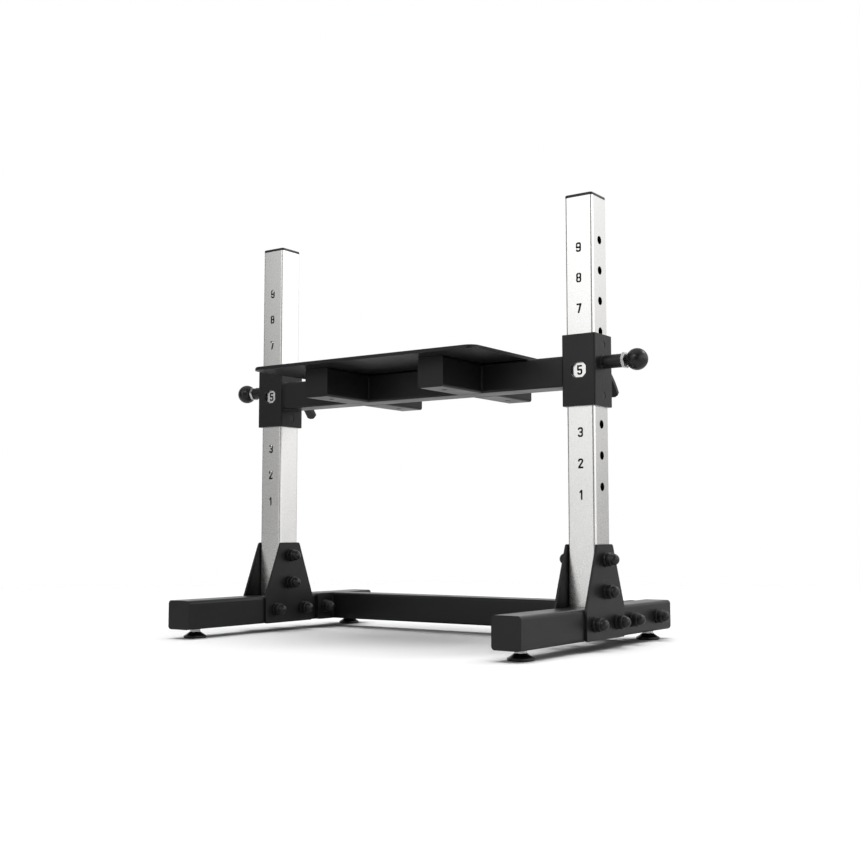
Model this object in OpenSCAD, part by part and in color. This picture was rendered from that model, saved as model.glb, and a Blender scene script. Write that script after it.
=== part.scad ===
// Adjustable step-up platform
// Two rails carry two indexed uprights. A carriage with a step plate slides on the uprights, is locked by two
// sprung plungers and is clamped by two cam levers.
// X runs along the crossbar, Y to the back and Z up. The origin lies on the floor, midway between the
// uprights and midway along the rails.

/* [Uprights] */
// Distance between the centre lines of the two uprights
upright_spacing = 664; // [600:2:760]
// Side of the uprights' square tube, and width of the rails that carry them
frame_side = 50; // [46:1:54]
// Wall of the uprights' tube
upright_wall = 3; // [2:0.5:4]
// Outer corner radius of the uprights' tube
upright_round = 4.5; // [2:0.5:5]
// Length of each upright
upright_length = 661; // [650:1:760]
// Thickness of the cap that shows above each upright
cap_height = 4.7; // [3:0.1:8]
// Depth of the cap's plug inside the tube
cap_plug_depth = 18; // [10:1:24]
// Wall of the cap's plug
cap_plug_wall = 2; // [1.2:0.1:3]

/* [Index holes and numbers] */
// Diameter of the index holes
hole_d = 13; // [12.8:0.1:15]
// Distance between index holes
hole_pitch = 50; // [44:1:50]
// Number of index holes on each upright
hole_count = 9; // [6:1:9]
// Height of the first index hole above the rail
first_hole = 190; // [186:1:200]
// Height of the cut numbers
digit_height = 15; // [13:0.5:16]
// Width of the cut numbers
digit_width = 8.5; // [7.5:0.5:10]
// Stroke of the cut numbers
digit_stroke = 2.1; // [1.6:0.1:2.4]
// Width of the bridges that hold the islands in 6, 8 and 9
digit_bridge = 0.9; // [0.7:0.1:1.4]
// Corner radius of the numbers' round parts
digit_round = 3; // [2.2:0.1:3.6]
// Height of the opening's straight edge in 3, 5, 6 and 9
digit_hook = 1.4; // [1:0.1:2]
// Drop from an index hole to the middle of its number
digit_drop = 13; // [12:0.5:16]

/* [Rails] */
// Length of each rail
rail_length = 510; // [500:2:600]
// Height of the rails' tube
rail_height = 50; // [46:1:60]
// Wall of the rails' tube
rail_wall = 2.5; // [2:0.5:4]
// Outer corner radius of the rails' tube
rail_round = 6; // [3:0.5:8]
// Thickness of the plates that close tube ends
end_plate = 3; // [2:0.5:5]

/* [Rear crossbar] */
// Distance of the rear crossbar behind the uprights
crossbar_y = 150; // [142:1:154]
// Depth of the crossbar's tube
crossbar_side = 50; // [40:1:52]
// Wall of the crossbar's tube
crossbar_wall = 2.5; // [2:0.5:4]
// Outer corner radius of the crossbar's tube
crossbar_round = 4; // [2:0.5:6]
// Thickness of the bolted flanges at the crossbar's ends
flange_thickness = 6; // [4:0.5:8]
// Length of the flanges along the rail
flange_length = 140; // [132:1:144]
// Corner radius of the flanges
flange_round = 6; // [2:0.5:10]
// Distance of each flange bolt from the middle of the crossbar
flange_bolt_y = 49; // [46:0.5:52]

/* [Gussets] */
// Thickness of the gusset plates
gusset_thickness = 4; // [3:0.5:6]
// Height of the gussets above the rail
gusset_rise = 99; // [92:1:110]
// Width of a gusset along its top edge
gusset_top_width = 56; // [50:1:70]
// Width of a gusset on the rail
gusset_width = 130; // [126:1:134]
// Drop from the rail's top to the knee where the slant meets the upright edge
gusset_knee = 0; // [0:1:20]
// Radius of the upper corners
gusset_round = 6; // [3:0.5:10]
// Radius of the lower corners
gusset_low_round = 4; // [2:0.5:8]
// Height of the upper bolt above the rail
upper_bolt_rise = 75; // [70:0.5:78]
// Height of the lower bolt above the rail
lower_bolt_rise = 24.5; // [20:0.5:30]
// Distance of the rail bolts from the upright's centre line
rail_bolt_y = 38; // [35:0.5:42]

/* [Bolts and domes] */
// Thread diameter of the frame bolts
bolt_d = 10; // [8:0.5:11]
// Play of a bolt in its holes, on the diameter
bolt_play = 0.5; // [0.3:0.1:1]
// Width across the flats of bolt heads and nuts
hex_width = 17; // [15:0.5:18]
// Height of a bolt head
head_height = 6.4; // [5:0.2:7.4]
// Height of a nut
nut_height = 6.4; // [6:0.2:9]
// Length of thread that stands out of its nut
thread_end = 2.5; // [1:0.5:5]
// Thickness of the washer under each dome
dome_base = 4.4; // [3:0.1:6]
// Ring of that washer that shows around the dome cap
washer_rim = 1; // [0.6:0.1:1.5]
// Taper of the washer's edge, on the radius
washer_taper = 0.5; // [0:0.1:0.6]
// Wall of the dome caps
dome_wall = 1.3; // [0.8:0.1:1.6]
// Diameter of the round top of the dome caps
dome_d = 18.4; // [16:0.1:19]
// Height of a dome cap above its washer
dome_height = 19; // [18:0.5:24]

/* [Levelling feet] */
// Distance of each foot from the end of its rail
foot_inset = 40; // [33:1:43]
// Diameter of a foot's pad
pad_d = 40; // [36:1:46]
// Thickness of the pad's rim
pad_rim = 4; // [3:0.5:6]
// Height of the pad below its lock nut
pad_height = 10.5; // [9:0.5:14]
// Lower diameter of the pad's cone
cone_base_d = 38; // [30:1:40]
// Upper diameter of the pad's cone
cone_top_d = 21; // [19:0.5:26]
// Thread diameter of the foot's stud
stud_d = 10; // [8:0.5:12]
// Length of the foot's stud
stud_length = 46; // [40:1:50]
// Thickness of the pad below the stud
stud_floor = 4; // [2:0.5:5]
// Width across the flats of the lock nut
lock_nut_width = 16; // [15:0.5:19]
// Height of the lock nut
lock_nut_height = 6; // [4:0.5:8]
// Outer diameter of the weld nut inside the rail
weld_nut_d = 18; // [16:0.5:22]
// Height of the weld nut
weld_nut_height = 9; // [6:0.5:10]

/* [Sleeves] */
// Index hole that the plungers stand at, counted from below
carriage_hole = 5; // [1:1:6]
// Height of each sleeve
sleeve_height = 116; // [110:1:124]
// Wall of the sleeves' tube
sleeve_wall = 3; // [2.5:0.5:4]
// Outer corner radius of the sleeves' tube
sleeve_round = 3; // [2:0.5:7]
// Wall of the plastic guide liners
liner_wall = 1.7; // [1.2:0.1:2.5]
// Gap between the liners and the upright on each side
slide_gap = 0.3; // [0.3:0.05:0.6]
// Height of each guide liner
liner_height = 30; // [24:1:32]
// Diameter of the liner studs that show in the sleeve's side
liner_stud_d = 10.8; // [8:0.2:12]
// Distance of the liner studs from the middle of the sleeve
liner_stud_z = 41.5; // [40:0.5:43]
// Depth of the liner studs' ends below the sleeve's face
liner_stud_recess = 0.6; // [0.2:0.1:1.2]
// Width of the number window
window_width = 26.5; // [20:0.5:28]
// Height of the number window
window_height = 24.5; // [22:0.5:32]
// Cut corner of the number window
window_corner = 6; // [3:0.5:8]

/* [Carriage] */
// Side of the crossbeam and of the arms
beam_side = 50; // [44:1:52]
// Wall of the crossbeam and the arms
beam_wall = 3; // [2:0.5:4]
// Outer corner radius of the crossbeam and the arms
beam_round = 4; // [2:0.5:6]
// Distance of each arm from the middle of the platform
arm_x = 121; // [100:1:160]
// Length of each arm from the beam's face
arm_length = 116; // [110:1:140]
// Distance of the plate screws and their driver holes from the crossbeam's centre line
screw_y = 100; // [80:1:106]
// Diameter of the driver holes under the arms
driver_hole_d = 9.5; // [9:0.5:12]
// Thread diameter of the plate screws
screw_d = 5; // [4:0.5:6]
// Head diameter of the plate screws
screw_head_d = 8.6; // [7:0.2:9]
// Head height of the plate screws
screw_head_height = 3; // [2:0.2:4]

/* [Platform] */
// Length of the step plate along the crossbeam
plate_length = 468; // [420:2:520]
// Depth of the step plate
plate_depth = 372; // [330:2:400]
// Thickness of the step plate
plate_thickness = 4; // [3:0.5:6]
// Corner radius of the step plate
plate_round = 18; // [8:1:40]
// Thickness of the tread mat
mat_thickness = 2; // [1.5:0.5:4]
// Distance from the mat's edge to the plate's edge
mat_inset = 1; // [0.5:0.5:6]

/* [Plungers] */
// Diameter of the locking pin
pin_d = 12; // [11:0.5:12.5]
// Length of the locking pin
pin_length = 19.7; // [18:0.1:22]
// Gap between the pin's tip and the upright as it stands here
pin_gap = 0.3; // [0.3:0.1:0.6]
// Diameter of the rod between pin and knob
rod_d = 6; // [5:0.5:7]
// Outer diameter of the housing on the sleeve
housing_d = 22; // [21:0.5:26]
// Length of the housing
housing_length = 34.9; // [33:0.1:38]
// Outer diameter of the threaded body
plunger_d = 16; // [15:0.5:17]
// Length of the threaded body
plunger_length = 41; // [40.9:0.1:44]
// Thickness of the threaded body's end wall
plunger_end = 3; // [2:0.5:4]
// Width across the flats of the plunger's lock nut
plunger_nut_width = 24; // [21:0.5:27]
// Height of the plunger's lock nut
plunger_nut_height = 6; // [4:0.5:6]
// Diameter of the ball knob
knob_d = 35; // [30:1:40]
// Diameter of the knob's flat face
knob_flat_d = 21; // [14:0.5:24]
// Gap between the knob and the threaded body
knob_gap = 3.5; // [3.5:0.1:6]
// Depth of the knob's bore for the rod
knob_bore = 14; // [10:0.5:20]
// Wire diameter of the plunger spring
spring_wire = 1.2; // [0.8:0.1:1.3]
// Number of turns of the plunger spring
spring_turns = 9; // [6:1:11]

/* [Clamp levers] */
// Height of the clamp above the middle of the sleeve
clamp_rise = 18.5; // [17:0.5:19]
// Distance of the lever's pivot behind the sleeve
pivot_reach = 15; // [14.5:0.1:18]
// Diameter of the pivot pin
pivot_d = 6; // [5:0.5:7]
// Head diameter of the pivot pin
pivot_head_d = 9; // [8:0.5:11]
// Thickness of the pivot pin's heads
pivot_head = 1.5; // [1:0.1:2.5]
// Thickness of each ear of the bracket
ear_thickness = 4; // [3:0.5:5]
// Radius of the ears around the pivot
ear_radius = 7; // [5.5:0.5:8]
// Gap between the ears
ear_gap = 17; // [16:0.5:20]
// Height of the bracket on the sleeve
bracket_height = 25; // [22:0.5:28]
// Thickness of the bracket's base
bracket_base = 3; // [2:0.5:3.5]
// Diameter of the lever's cam
cam_d = 18; // [16:0.5:18.5]
// Offset of the cam's centre from the pivot
cam_throw = 0.85; // [0.6:0.05:0.9]
// Direction of that offset, from the rear direction
cam_angle = -101; // [-105:1:-95]
// Gap between cam and piston
cam_gap = 0.14; // [0.1:0.02:0.3]
// Thickness of the lever
lever_thickness = 7; // [5:0.5:9]
// Width of the lever's handle
handle_width = 19.4; // [18:0.2:22]
// Distance from the pivot at which the handle widens
handle_start = 12; // [11:0.5:16]
// Radius of the lever's curve
lever_radius = 135; // [120:5:200]
// Length of the lever along its curve
lever_length = 67.8; // [60:0.2:84]
// Direction from the centre of the lever's curve to the pivot
lever_angle = 63.4; // [60:0.2:70]
// Play of the lever between the ears, on its width
lever_play = 0.6; // [0.4:0.1:1]
// Depth of the point at the lever's end
lever_point = 5; // [2:0.5:9]
// Diameter of the clamp piston
piston_d = 14; // [12:0.5:15]
// Diameter of the rubber pad on the piston
clamp_pad_d = 13; // [10:0.5:14]
// Thickness of the rubber pad
clamp_pad_thickness = 3; // [2:0.5:4]
// Gap between the rubber pad and the upright
clamp_gap = 0.5; // [0.5:0.05:0.8]

/* [Fits] */
// Radial clearance of pins, threads and pistons in their bores
running_fit = 0.05; // [0.03:0.01:0.1]
// Radial clearance of fixed pieces that are slipped together
slip_fit = 0.1; // [0.05:0.01:0.2]

/* [Hidden] */
$fn = 48;
// Overlap of pieces that are joined, and reach of cuts past a face
EPS = 1;
// Least inner corner radius of a tube
LEAST_ROUND = 0.6;
// Room between a nut and the shoulder of its dome cap
NUT_ROOM = 0.4;
// Room under the end of a foot's stud, and extra diameter of its hole in the rail
STUD_ROOM = 0.3;
STUD_HOLE_PLAY = 1;
// Room at each end of the plunger spring
SPRING_END_ROOM = 0.2;
// Depth of the plate screws' ends below the plate's top
SCREW_DROP = 0.2;

// Colours, as the photograph shows them
powder_black = "#2a2a2a";
satin_black = "#1e1e1e";
brushed = "#d8d6d2";
zinc = "#c9ccd0";
rubber_black = "#181818";
LEFT = -1;
RIGHT = 1;
SIDES = [LEFT, RIGHT];

// Heights and half sizes of the stand
half_span = upright_spacing / 2;
frame_half = frame_side / 2;
rail_bottom = pad_height + lock_nut_height;
rail_middle = rail_bottom + rail_height / 2;
rail_top = rail_bottom + rail_height;
upper_bolt_z = rail_top + upper_bolt_rise;
lower_bolt_z = rail_top + lower_bolt_rise;
gusset_face = frame_half + gusset_thickness;
flange_face = frame_half + flange_thickness;
rail_inner_x = half_span - frame_half;
bolt_hole_d = bolt_d + bolt_play;
foot_y = rail_length / 2 - foot_inset;

// Places of the bolts along Y and Z, and of the feet
UPRIGHT_BOLTS = [[0, upper_bolt_z], [0, lower_bolt_z]];
RAIL_BOLTS = [[-rail_bolt_y, rail_middle], [rail_bolt_y, rail_middle]];
CROSSBAR_BOLTS = [[crossbar_y - flange_bolt_y, rail_middle], [crossbar_y + flange_bolt_y, rail_middle]];

// Sizes of the dome caps, measured outward from the face that the washer lies on
hex_corner_r = hex_width / 2 / cos(30);
cap_inner_r = hex_corner_r + slip_fit;
cap_outer_r = cap_inner_r + dome_wall;
washer_r = cap_outer_r + washer_rim;
skirt_top = dome_base + max(nut_height, head_height) + NUT_ROOM;
dome_centre = dome_base + dome_height - dome_d / 2;

// Heights and half sizes of the carriage
function hole_z(n) = rail_top + first_hole + hole_pitch * (n - 1);
pin_z = hole_z(carriage_hole);
carriage_z = pin_z - digit_drop;
liner_side = frame_side + 2 * (slide_gap + liner_wall);
liner_inner_side = frame_side + 2 * slide_gap;
sleeve_side = liner_side + 2 * sleeve_wall;
sleeve_half = sleeve_side / 2;
beam_half = beam_side / 2;
beam_length = upright_spacing - sleeve_side;
plate_z = carriage_z + beam_half;
liner_stud_hole_d = liner_stud_d + 2 * slip_fit;

// Places along the plunger's axis, measured outward from the sleeve's face
pin_tip = frame_half + pin_gap - sleeve_half;
pin_shoulder = pin_tip + pin_length;
knob_flat = plunger_length + knob_gap;
knob_reach = sqrt(pow(knob_d / 2, 2) - pow(knob_flat_d / 2, 2));
spring_room = plunger_length - plunger_end - pin_shoulder;
plunger_bore_r = pin_d / 2 + running_fit;
rod_bore_r = rod_d / 2 + slip_fit;
spring_r = (plunger_bore_r + rod_bore_r) / 2;

// Places of the clamp
clamp_z = carriage_z + clamp_rise;
lever_width = ear_gap - lever_play;
lever_sweep = lever_length / lever_radius * 180 / PI;
lever_point_sweep = lever_point / lever_radius * 180 / PI;
lever_centre = -lever_radius * [cos(lever_angle), sin(lever_angle)];
lever_chord = 2 * lever_radius * sin(lever_sweep / 2);
lever_chord_angle = lever_angle - lever_sweep / 2 - 90;
piston_back = pivot_reach + cam_throw * cos(cam_angle) - cam_d / 2 - cam_gap;
clamp_pad_front = frame_half + clamp_gap - sleeve_half;

// Inner corner radius of a tube with this outer corner radius and wall
function inner_round(r, wall) = max(r - wall, LEAST_ROUND);

// Outlines
module rounded_rect(w, h, r) {
    square([w, h - 2 * r], center = true);
    square([w - 2 * r, h], center = true);
    for (x = [-1, 1], y = [-1, 1])
        translate([x * (w / 2 - r), y * (h / 2 - r)])
            circle(r);
}

module hollow_rect(w, h, wall, r) {
    difference() {
        rounded_rect(w, h, r);
        rounded_rect(w - 2 * wall, h - 2 * wall, inner_round(r, wall));
    }
}

module hexagon(width) {
    circle(width / 2 / cos(30), $fn = 6);
}

// Directions: local Z is turned to lie along X or Y, and local Y then points up
module along_x() {
    rotate([90, 0, 90])
        children();
}

module along_y() {
    rotate([90, 0, 180])
        children();
}

module at_upright(side) {
    translate([side * half_span, 0, 0])
        children();
}

// Turns local Z outward along X, away from the middle of the stand
module outward(side) {
    rotate([0, side * 90, 0])
        children();
}

module bolt_holes(places) {
    for (p = places)
        translate([0, p.x, p.y])
            rotate([0, 90, 0])
                cylinder(d = bolt_hole_d, h = 2 * frame_side, center = true);
}

// Numbers, each drawn around its own middle
bowl_height = (digit_height + digit_stroke) / 2;
bowl_y = (digit_height - digit_stroke) / 4;
loop_height = 0.6 * digit_height;

module digit_ring(h) {
    hollow_rect(digit_width, h, digit_stroke, digit_round);
}

module digit_box(x0, y0, x1, y1) {
    translate([x0, y0])
        square([x1 - x0, y1 - y0]);
}

module digit_one() {
    half = digit_height / 2;
    flag = 0.3 * digit_width;
    flag_drop = 2.8;
    flag_height = 2.2;
    root_height = 2.4;
    digit_box(0, -half, digit_stroke, half);
    polygon([
        [0, half], [-flag, half - flag_drop], [-flag, half - flag_drop - flag_height], [0, half - root_height]
    ]);
}

module digit_two() {
    side = digit_width / 2;
    half = digit_height / 2;
    intersection() {
        translate([0, bowl_y])
            digit_ring(bowl_height);
        digit_box(-side, bowl_y, side, half);
    }
    polygon([
        [side, bowl_y], [side - digit_stroke, bowl_y], [-side, digit_stroke - half], [-side, -half],
        [1.4 * digit_stroke - side, digit_stroke - half]
    ]);
    digit_box(-side, -half, side, digit_stroke - half);
}

module digit_three() {
    side = digit_width / 2;
    half = digit_height / 2;
    hook_y = half - digit_stroke - digit_hook;
    difference() {
        for (s = [-1, 1])
            translate([0, s * bowl_y])
                digit_ring(bowl_height);
        digit_box(-side - EPS, -hook_y, digit_stroke - side, hook_y);
        digit_box(-side - EPS, -digit_stroke, -0.15 * digit_width, digit_stroke);
    }
}

module digit_four() {
    side = digit_width / 2;
    half = digit_height / 2;
    bar_y = -0.2 * digit_height;
    polygon([[0, half], [-digit_stroke, half], [-side, bar_y], [1.1 * digit_stroke - side, bar_y]]);
    digit_box(-side, bar_y - digit_stroke, side, bar_y);
    digit_box(0.1 * digit_width, -half, 0.1 * digit_width + digit_stroke, 0.1 * digit_height);
}

module digit_five() {
    side = digit_width / 2;
    half = digit_height / 2;
    hook_y = half - digit_stroke - digit_hook;
    top_inset = 0.5;
    difference() {
        translate([0, loop_height / 2 - half])
            digit_ring(loop_height);
        digit_box(-side - EPS, -hook_y, digit_stroke - side, loop_height - half + EPS);
    }
    digit_box(-side, loop_height - half - digit_stroke, 0, loop_height - half);
    digit_box(-side, loop_height - half - digit_stroke, digit_stroke - side, half);
    digit_box(-side, half - digit_stroke, side - top_inset, half);
}

module digit_six() {
    side = digit_width / 2;
    half = digit_height / 2;
    gap_y = (loop_height - digit_bridge) / 2 - half;
    difference() {
        union() {
            translate([0, loop_height / 2 - half])
                digit_ring(loop_height);
            digit_ring(digit_height);
        }
        digit_box(0, loop_height - half, side + EPS, half - digit_stroke - digit_hook);
        digit_box(0, gap_y, side + EPS, gap_y + digit_bridge);
    }
}

module digit_seven() {
    side = digit_width / 2;
    half = digit_height / 2;
    foot_x = -1;
    foot_half = 0.6 * digit_stroke;
    digit_box(-side, half - digit_stroke, side, half);
    polygon([
        [side, half], [side - 2 * foot_half, half], [foot_x - foot_half, -half], [foot_x + foot_half, -half]
    ]);
}

module digit_eight() {
    difference() {
        for (s = [-1, 1])
            translate([0, s * bowl_y])
                digit_ring(bowl_height);
        square([digit_bridge, 2 * digit_height], center = true);
    }
}

module digit(n) {
    if (n == 1) digit_one();
    if (n == 2) digit_two();
    if (n == 3) digit_three();
    if (n == 4) digit_four();
    if (n == 5) digit_five();
    if (n == 6) digit_six();
    if (n == 7) digit_seven();
    if (n == 8) digit_eight();
    if (n == 9) rotate(180) digit_six();
}

// Rails and uprights
module rail(side) {
    color(powder_black)
        at_upright(side)
            difference() {
                translate([0, 0, rail_middle])
                    along_y()
                        linear_extrude(rail_length - 2 * end_plate, center = true)
                            hollow_rect(frame_side, rail_height, rail_wall, rail_round);
                bolt_holes(RAIL_BOLTS);
                bolt_holes(CROSSBAR_BOLTS);
                for (y = [-foot_y, foot_y])
                    translate([0, y, rail_bottom - EPS])
                        cylinder(d = stud_d + STUD_HOLE_PLAY, h = rail_height / 2);
            }
}

module rail_end_plates() {
    color(powder_black)
        for (side = SIDES, end = [-1, 1])
            translate([side * half_span, end * (rail_length - end_plate) / 2, rail_middle])
                along_y()
                    linear_extrude(end_plate, center = true)
                        rounded_rect(frame_side, rail_height, rail_round);
}

module upright(side) {
    color(brushed)
        at_upright(side)
            difference() {
                translate([0, 0, rail_top])
                    linear_extrude(upright_length)
                        hollow_rect(frame_side, frame_side, upright_wall, upright_round);
                bolt_holes(UPRIGHT_BOLTS);
                for (n = [1:hole_count]) {
                    translate([side * frame_half, 0, hole_z(n)])
                        rotate([0, 90, 0])
                            cylinder(d = hole_d, h = 4 * upright_wall, center = true);
                    translate([0, -frame_half, hole_z(n) - digit_drop])
                        rotate([90, 0, 0])
                            linear_extrude(4 * upright_wall, center = true)
                                digit(n);
                }
            }
}

module upright_caps() {
    plug_side = frame_side - 2 * (upright_wall + slip_fit);
    plug_round = inner_round(upright_round, upright_wall) - slip_fit;
    color(satin_black)
        for (side = SIDES)
            translate([side * half_span, 0, rail_top + upright_length]) {
                linear_extrude(cap_height)
                    rounded_rect(frame_side, frame_side, upright_round);
                translate([0, 0, -cap_plug_depth])
                    linear_extrude(cap_plug_depth)
                        hollow_rect(plug_side, plug_side, cap_plug_wall, plug_round);
            }
}

module gusset_outline() {
    knee = rail_top - gusset_knee;
    hull() {
        for (x = [-1, 1]) {
            translate([x * (gusset_top_width / 2 - gusset_round), rail_top + gusset_rise - gusset_round])
                circle(gusset_round, $fn = 32);
            translate([x * (gusset_width / 2 - gusset_low_round), rail_bottom + gusset_low_round])
                circle(gusset_low_round, $fn = 32);
        }
        polygon([[-gusset_width / 2, knee], [gusset_width / 2, knee], [0, rail_middle]]);
    }
}

module gusset(side, face) {
    color(powder_black)
        at_upright(side)
            difference() {
                translate([side * face * (frame_half + gusset_thickness / 2), 0, 0])
                    along_x()
                        linear_extrude(gusset_thickness, center = true)
                            gusset_outline();
                bolt_holes(UPRIGHT_BOLTS);
                bolt_holes(RAIL_BOLTS);
            }
}

// Rear crossbar
module rear_crossbar() {
    color(powder_black)
        translate([0, crossbar_y, rail_middle])
            along_x()
                linear_extrude(2 * (half_span - flange_face), center = true)
                    hollow_rect(crossbar_side, rail_height, crossbar_wall, crossbar_round);
}

module crossbar_flanges() {
    color(powder_black)
        for (side = SIDES)
            at_upright(side)
                difference() {
                    translate([-side * (frame_half + flange_thickness / 2), crossbar_y, rail_middle])
                        along_x()
                            linear_extrude(flange_thickness, center = true)
                                rounded_rect(flange_length, rail_height, flange_round);
                    bolt_holes(CROSSBAR_BOLTS);
                }
}

// Bolts: each runs along X, with its head outside and its nut inside
module bolts(places, outer, inner) {
    length = outer + inner + 2 * dome_base + nut_height + thread_end;
    color(zinc)
        for (side = SIDES, p = places)
            translate([side * half_span, p.x, p.y])
                outward(side)
                    translate([0, 0, outer + dome_base]) {
                        linear_extrude(head_height)
                            hexagon(hex_width);
                        translate([0, 0, -length])
                            cylinder(d = bolt_d, h = length);
                    }
}

// Children are set at both ends of every bolt, with local Z pointing away from the face
module at_bolt_ends(heads, nuts) {
    stacks = [
        for (p = UPRIGHT_BOLTS) [p, gusset_face, gusset_face],
        for (p = RAIL_BOLTS) [p, gusset_face, gusset_face],
        for (p = CROSSBAR_BOLTS) [p, frame_half, flange_face]
    ];
    for (side = SIDES, s = stacks)
        translate([side * half_span, s[0].x, s[0].y]) {
            if (heads)
                outward(side)
                    translate([0, 0, s[1]])
                        children();
            if (nuts)
                outward(-side)
                    translate([0, 0, s[2]])
                        children();
        }
}

module bolt_nuts() {
    color(zinc)
        at_bolt_ends(false, true)
            translate([0, 0, dome_base])
                difference() {
                    linear_extrude(nut_height)
                        hexagon(hex_width);
                    translate([0, 0, -EPS])
                        cylinder(r = bolt_d / 2 + running_fit, h = nut_height + 2 * EPS);
                }
}

module cap_washers() {
    color(satin_black)
        at_bolt_ends(true, true)
            difference() {
                cylinder(r1 = washer_r, r2 = washer_r - washer_taper, h = dome_base);
                translate([0, 0, -EPS])
                    cylinder(d = bolt_hole_d, h = dome_base + 2 * EPS);
            }
}

module bolt_caps() {
    inner_dome_d = dome_d - 2 * dome_wall;
    color(satin_black)
        at_bolt_ends(true, true)
            difference() {
                union() {
                    translate([0, 0, dome_base])
                        cylinder(r = cap_outer_r, h = skirt_top + dome_wall - dome_base);
                    cylinder(d = dome_d, h = dome_centre);
                    translate([0, 0, dome_centre])
                        sphere(d = dome_d);
                }
                translate([0, 0, -EPS])
                    cylinder(r = cap_inner_r, h = skirt_top + EPS);
                translate([0, 0, -EPS])
                    cylinder(d = inner_dome_d, h = dome_centre + EPS);
                translate([0, 0, dome_centre])
                    sphere(d = inner_dome_d);
            }
}

// Levelling feet
module at_feet() {
    for (side = SIDES, y = [-foot_y, foot_y])
        translate([side * half_span, y, 0])
            children();
}

module foot_lock_nuts() {
    color(zinc)
        at_feet()
            translate([0, 0, pad_height])
                difference() {
                    linear_extrude(lock_nut_height)
                        hexagon(lock_nut_width);
                    translate([0, 0, -EPS])
                        cylinder(r = stud_d / 2 + running_fit, h = lock_nut_height + 2 * EPS);
                }
}

module foot_weld_nuts() {
    color(zinc)
        at_feet()
            translate([0, 0, rail_bottom + rail_wall])
                difference() {
                    cylinder(d = weld_nut_d, h = weld_nut_height);
                    translate([0, 0, -EPS])
                        cylinder(r = stud_d / 2 + running_fit, h = weld_nut_height + 2 * EPS);
                }
}

module foot_pad(side, y) {
    color(rubber_black)
        translate([side * half_span, y, 0])
            difference() {
                union() {
                    cylinder(d = pad_d, h = pad_rim);
                    translate([0, 0, pad_rim])
                        cylinder(d1 = cone_base_d, d2 = cone_top_d, h = pad_height - pad_rim);
                }
                translate([0, 0, stud_floor])
                    cylinder(r = stud_d / 2 + running_fit, h = pad_height);
            }
}

module foot_stud(side, y) {
    color(zinc)
        translate([side * half_span, y, stud_floor + STUD_ROOM])
            cylinder(d = stud_d, h = stud_length);
}

// Sleeves and liners
module sleeve(side) {
    color(powder_black)
        translate([side * half_span, 0, carriage_z])
            difference() {
                linear_extrude(sleeve_height, center = true)
                    hollow_rect(sleeve_side, sleeve_side, sleeve_wall, sleeve_round);
                translate([0, -sleeve_half, 0])
                    rotate([90, 0, 0])
                        linear_extrude(4 * sleeve_wall, center = true)
                            window_outline();
                for (z = [-liner_stud_z, liner_stud_z])
                    translate([0, 0, z])
                        rotate([0, 90, 0])
                            cylinder(d = liner_stud_hole_d, h = 2 * sleeve_side, center = true);
                translate([0, 0, digit_drop])
                    outward(side)
                        cylinder(d = hole_d, h = sleeve_side);
                translate([0, 0, clamp_rise])
                    rotate([-90, 0, 0])
                        cylinder(r = piston_d / 2 + running_fit, h = sleeve_side);
            }
}

module window_outline() {
    x = window_width / 2;
    y = window_height / 2;
    c = window_corner;
    polygon([
        [x, y - c], [x - c, y], [c - x, y], [-x, y - c], [-x, c - y], [c - x, -y], [x - c, -y], [x, c - y]
    ]);
}

module liners(end) {
    stud_reach = sleeve_half - liner_stud_recess;
    middle = (sleeve_height - liner_height) / 2;
    color(satin_black)
        for (side = SIDES)
            translate([side * half_span, 0, carriage_z])
                difference() {
                    union() {
                        translate([0, 0, end * middle])
                            linear_extrude(liner_height, center = true)
                                rounded_rect(liner_side, liner_side, inner_round(sleeve_round, sleeve_wall));
                        translate([0, 0, end * liner_stud_z])
                            rotate([0, 90, 0])
                                cylinder(d = liner_stud_d, h = 2 * stud_reach, center = true);
                    }
                    linear_extrude(2 * sleeve_height, center = true)
                        rounded_rect(liner_inner_side, liner_inner_side, upright_round + slide_gap);
                }
}

// Crossbeam and arms
module crossbeam() {
    color(powder_black)
        translate([0, 0, carriage_z])
            along_x()
                linear_extrude(beam_length, center = true)
                    hollow_rect(beam_side, beam_side, beam_wall, beam_round);
}

module arms(end) {
    tube_length = arm_length - end_plate;
    color(powder_black)
        for (side = SIDES)
            difference() {
                translate([side * arm_x, end * (beam_half + tube_length / 2), carriage_z])
                    along_y()
                        linear_extrude(tube_length, center = true)
                            hollow_rect(beam_side, beam_side, beam_wall, beam_round);
                translate([side * arm_x, end * screw_y, carriage_z]) {
                    cylinder(d = screw_d + bolt_play, h = beam_side);
                    translate([0, 0, -beam_side])
                        cylinder(d = driver_hole_d, h = beam_side);
                }
            }
}

module arm_end_plates() {
    color(powder_black)
        for (side = SIDES, end = [-1, 1])
            translate([side * arm_x, end * (beam_half + arm_length - end_plate / 2), carriage_z])
                along_y()
                    linear_extrude(end_plate, center = true)
                        rounded_rect(beam_side, beam_side, beam_round);
}

// Platform
module at_plate_screws() {
    for (x = [-arm_x, arm_x], y = [-screw_y, screw_y])
        translate([x, y, plate_z])
            children();
}

module platform_plate() {
    color(powder_black)
        difference() {
            translate([0, 0, plate_z])
                linear_extrude(plate_thickness)
                    rounded_rect(plate_length, plate_depth, plate_round);
            at_plate_screws()
                translate([0, 0, -EPS])
                    cylinder(r = screw_d / 2 + running_fit, h = plate_thickness + 2 * EPS);
        }
}

module platform_mat() {
    length = plate_length - 2 * mat_inset;
    depth = plate_depth - 2 * mat_inset;
    color(rubber_black)
        translate([0, 0, plate_z + plate_thickness])
            linear_extrude(mat_thickness)
                rounded_rect(length, depth, plate_round - mat_inset);
}

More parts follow.
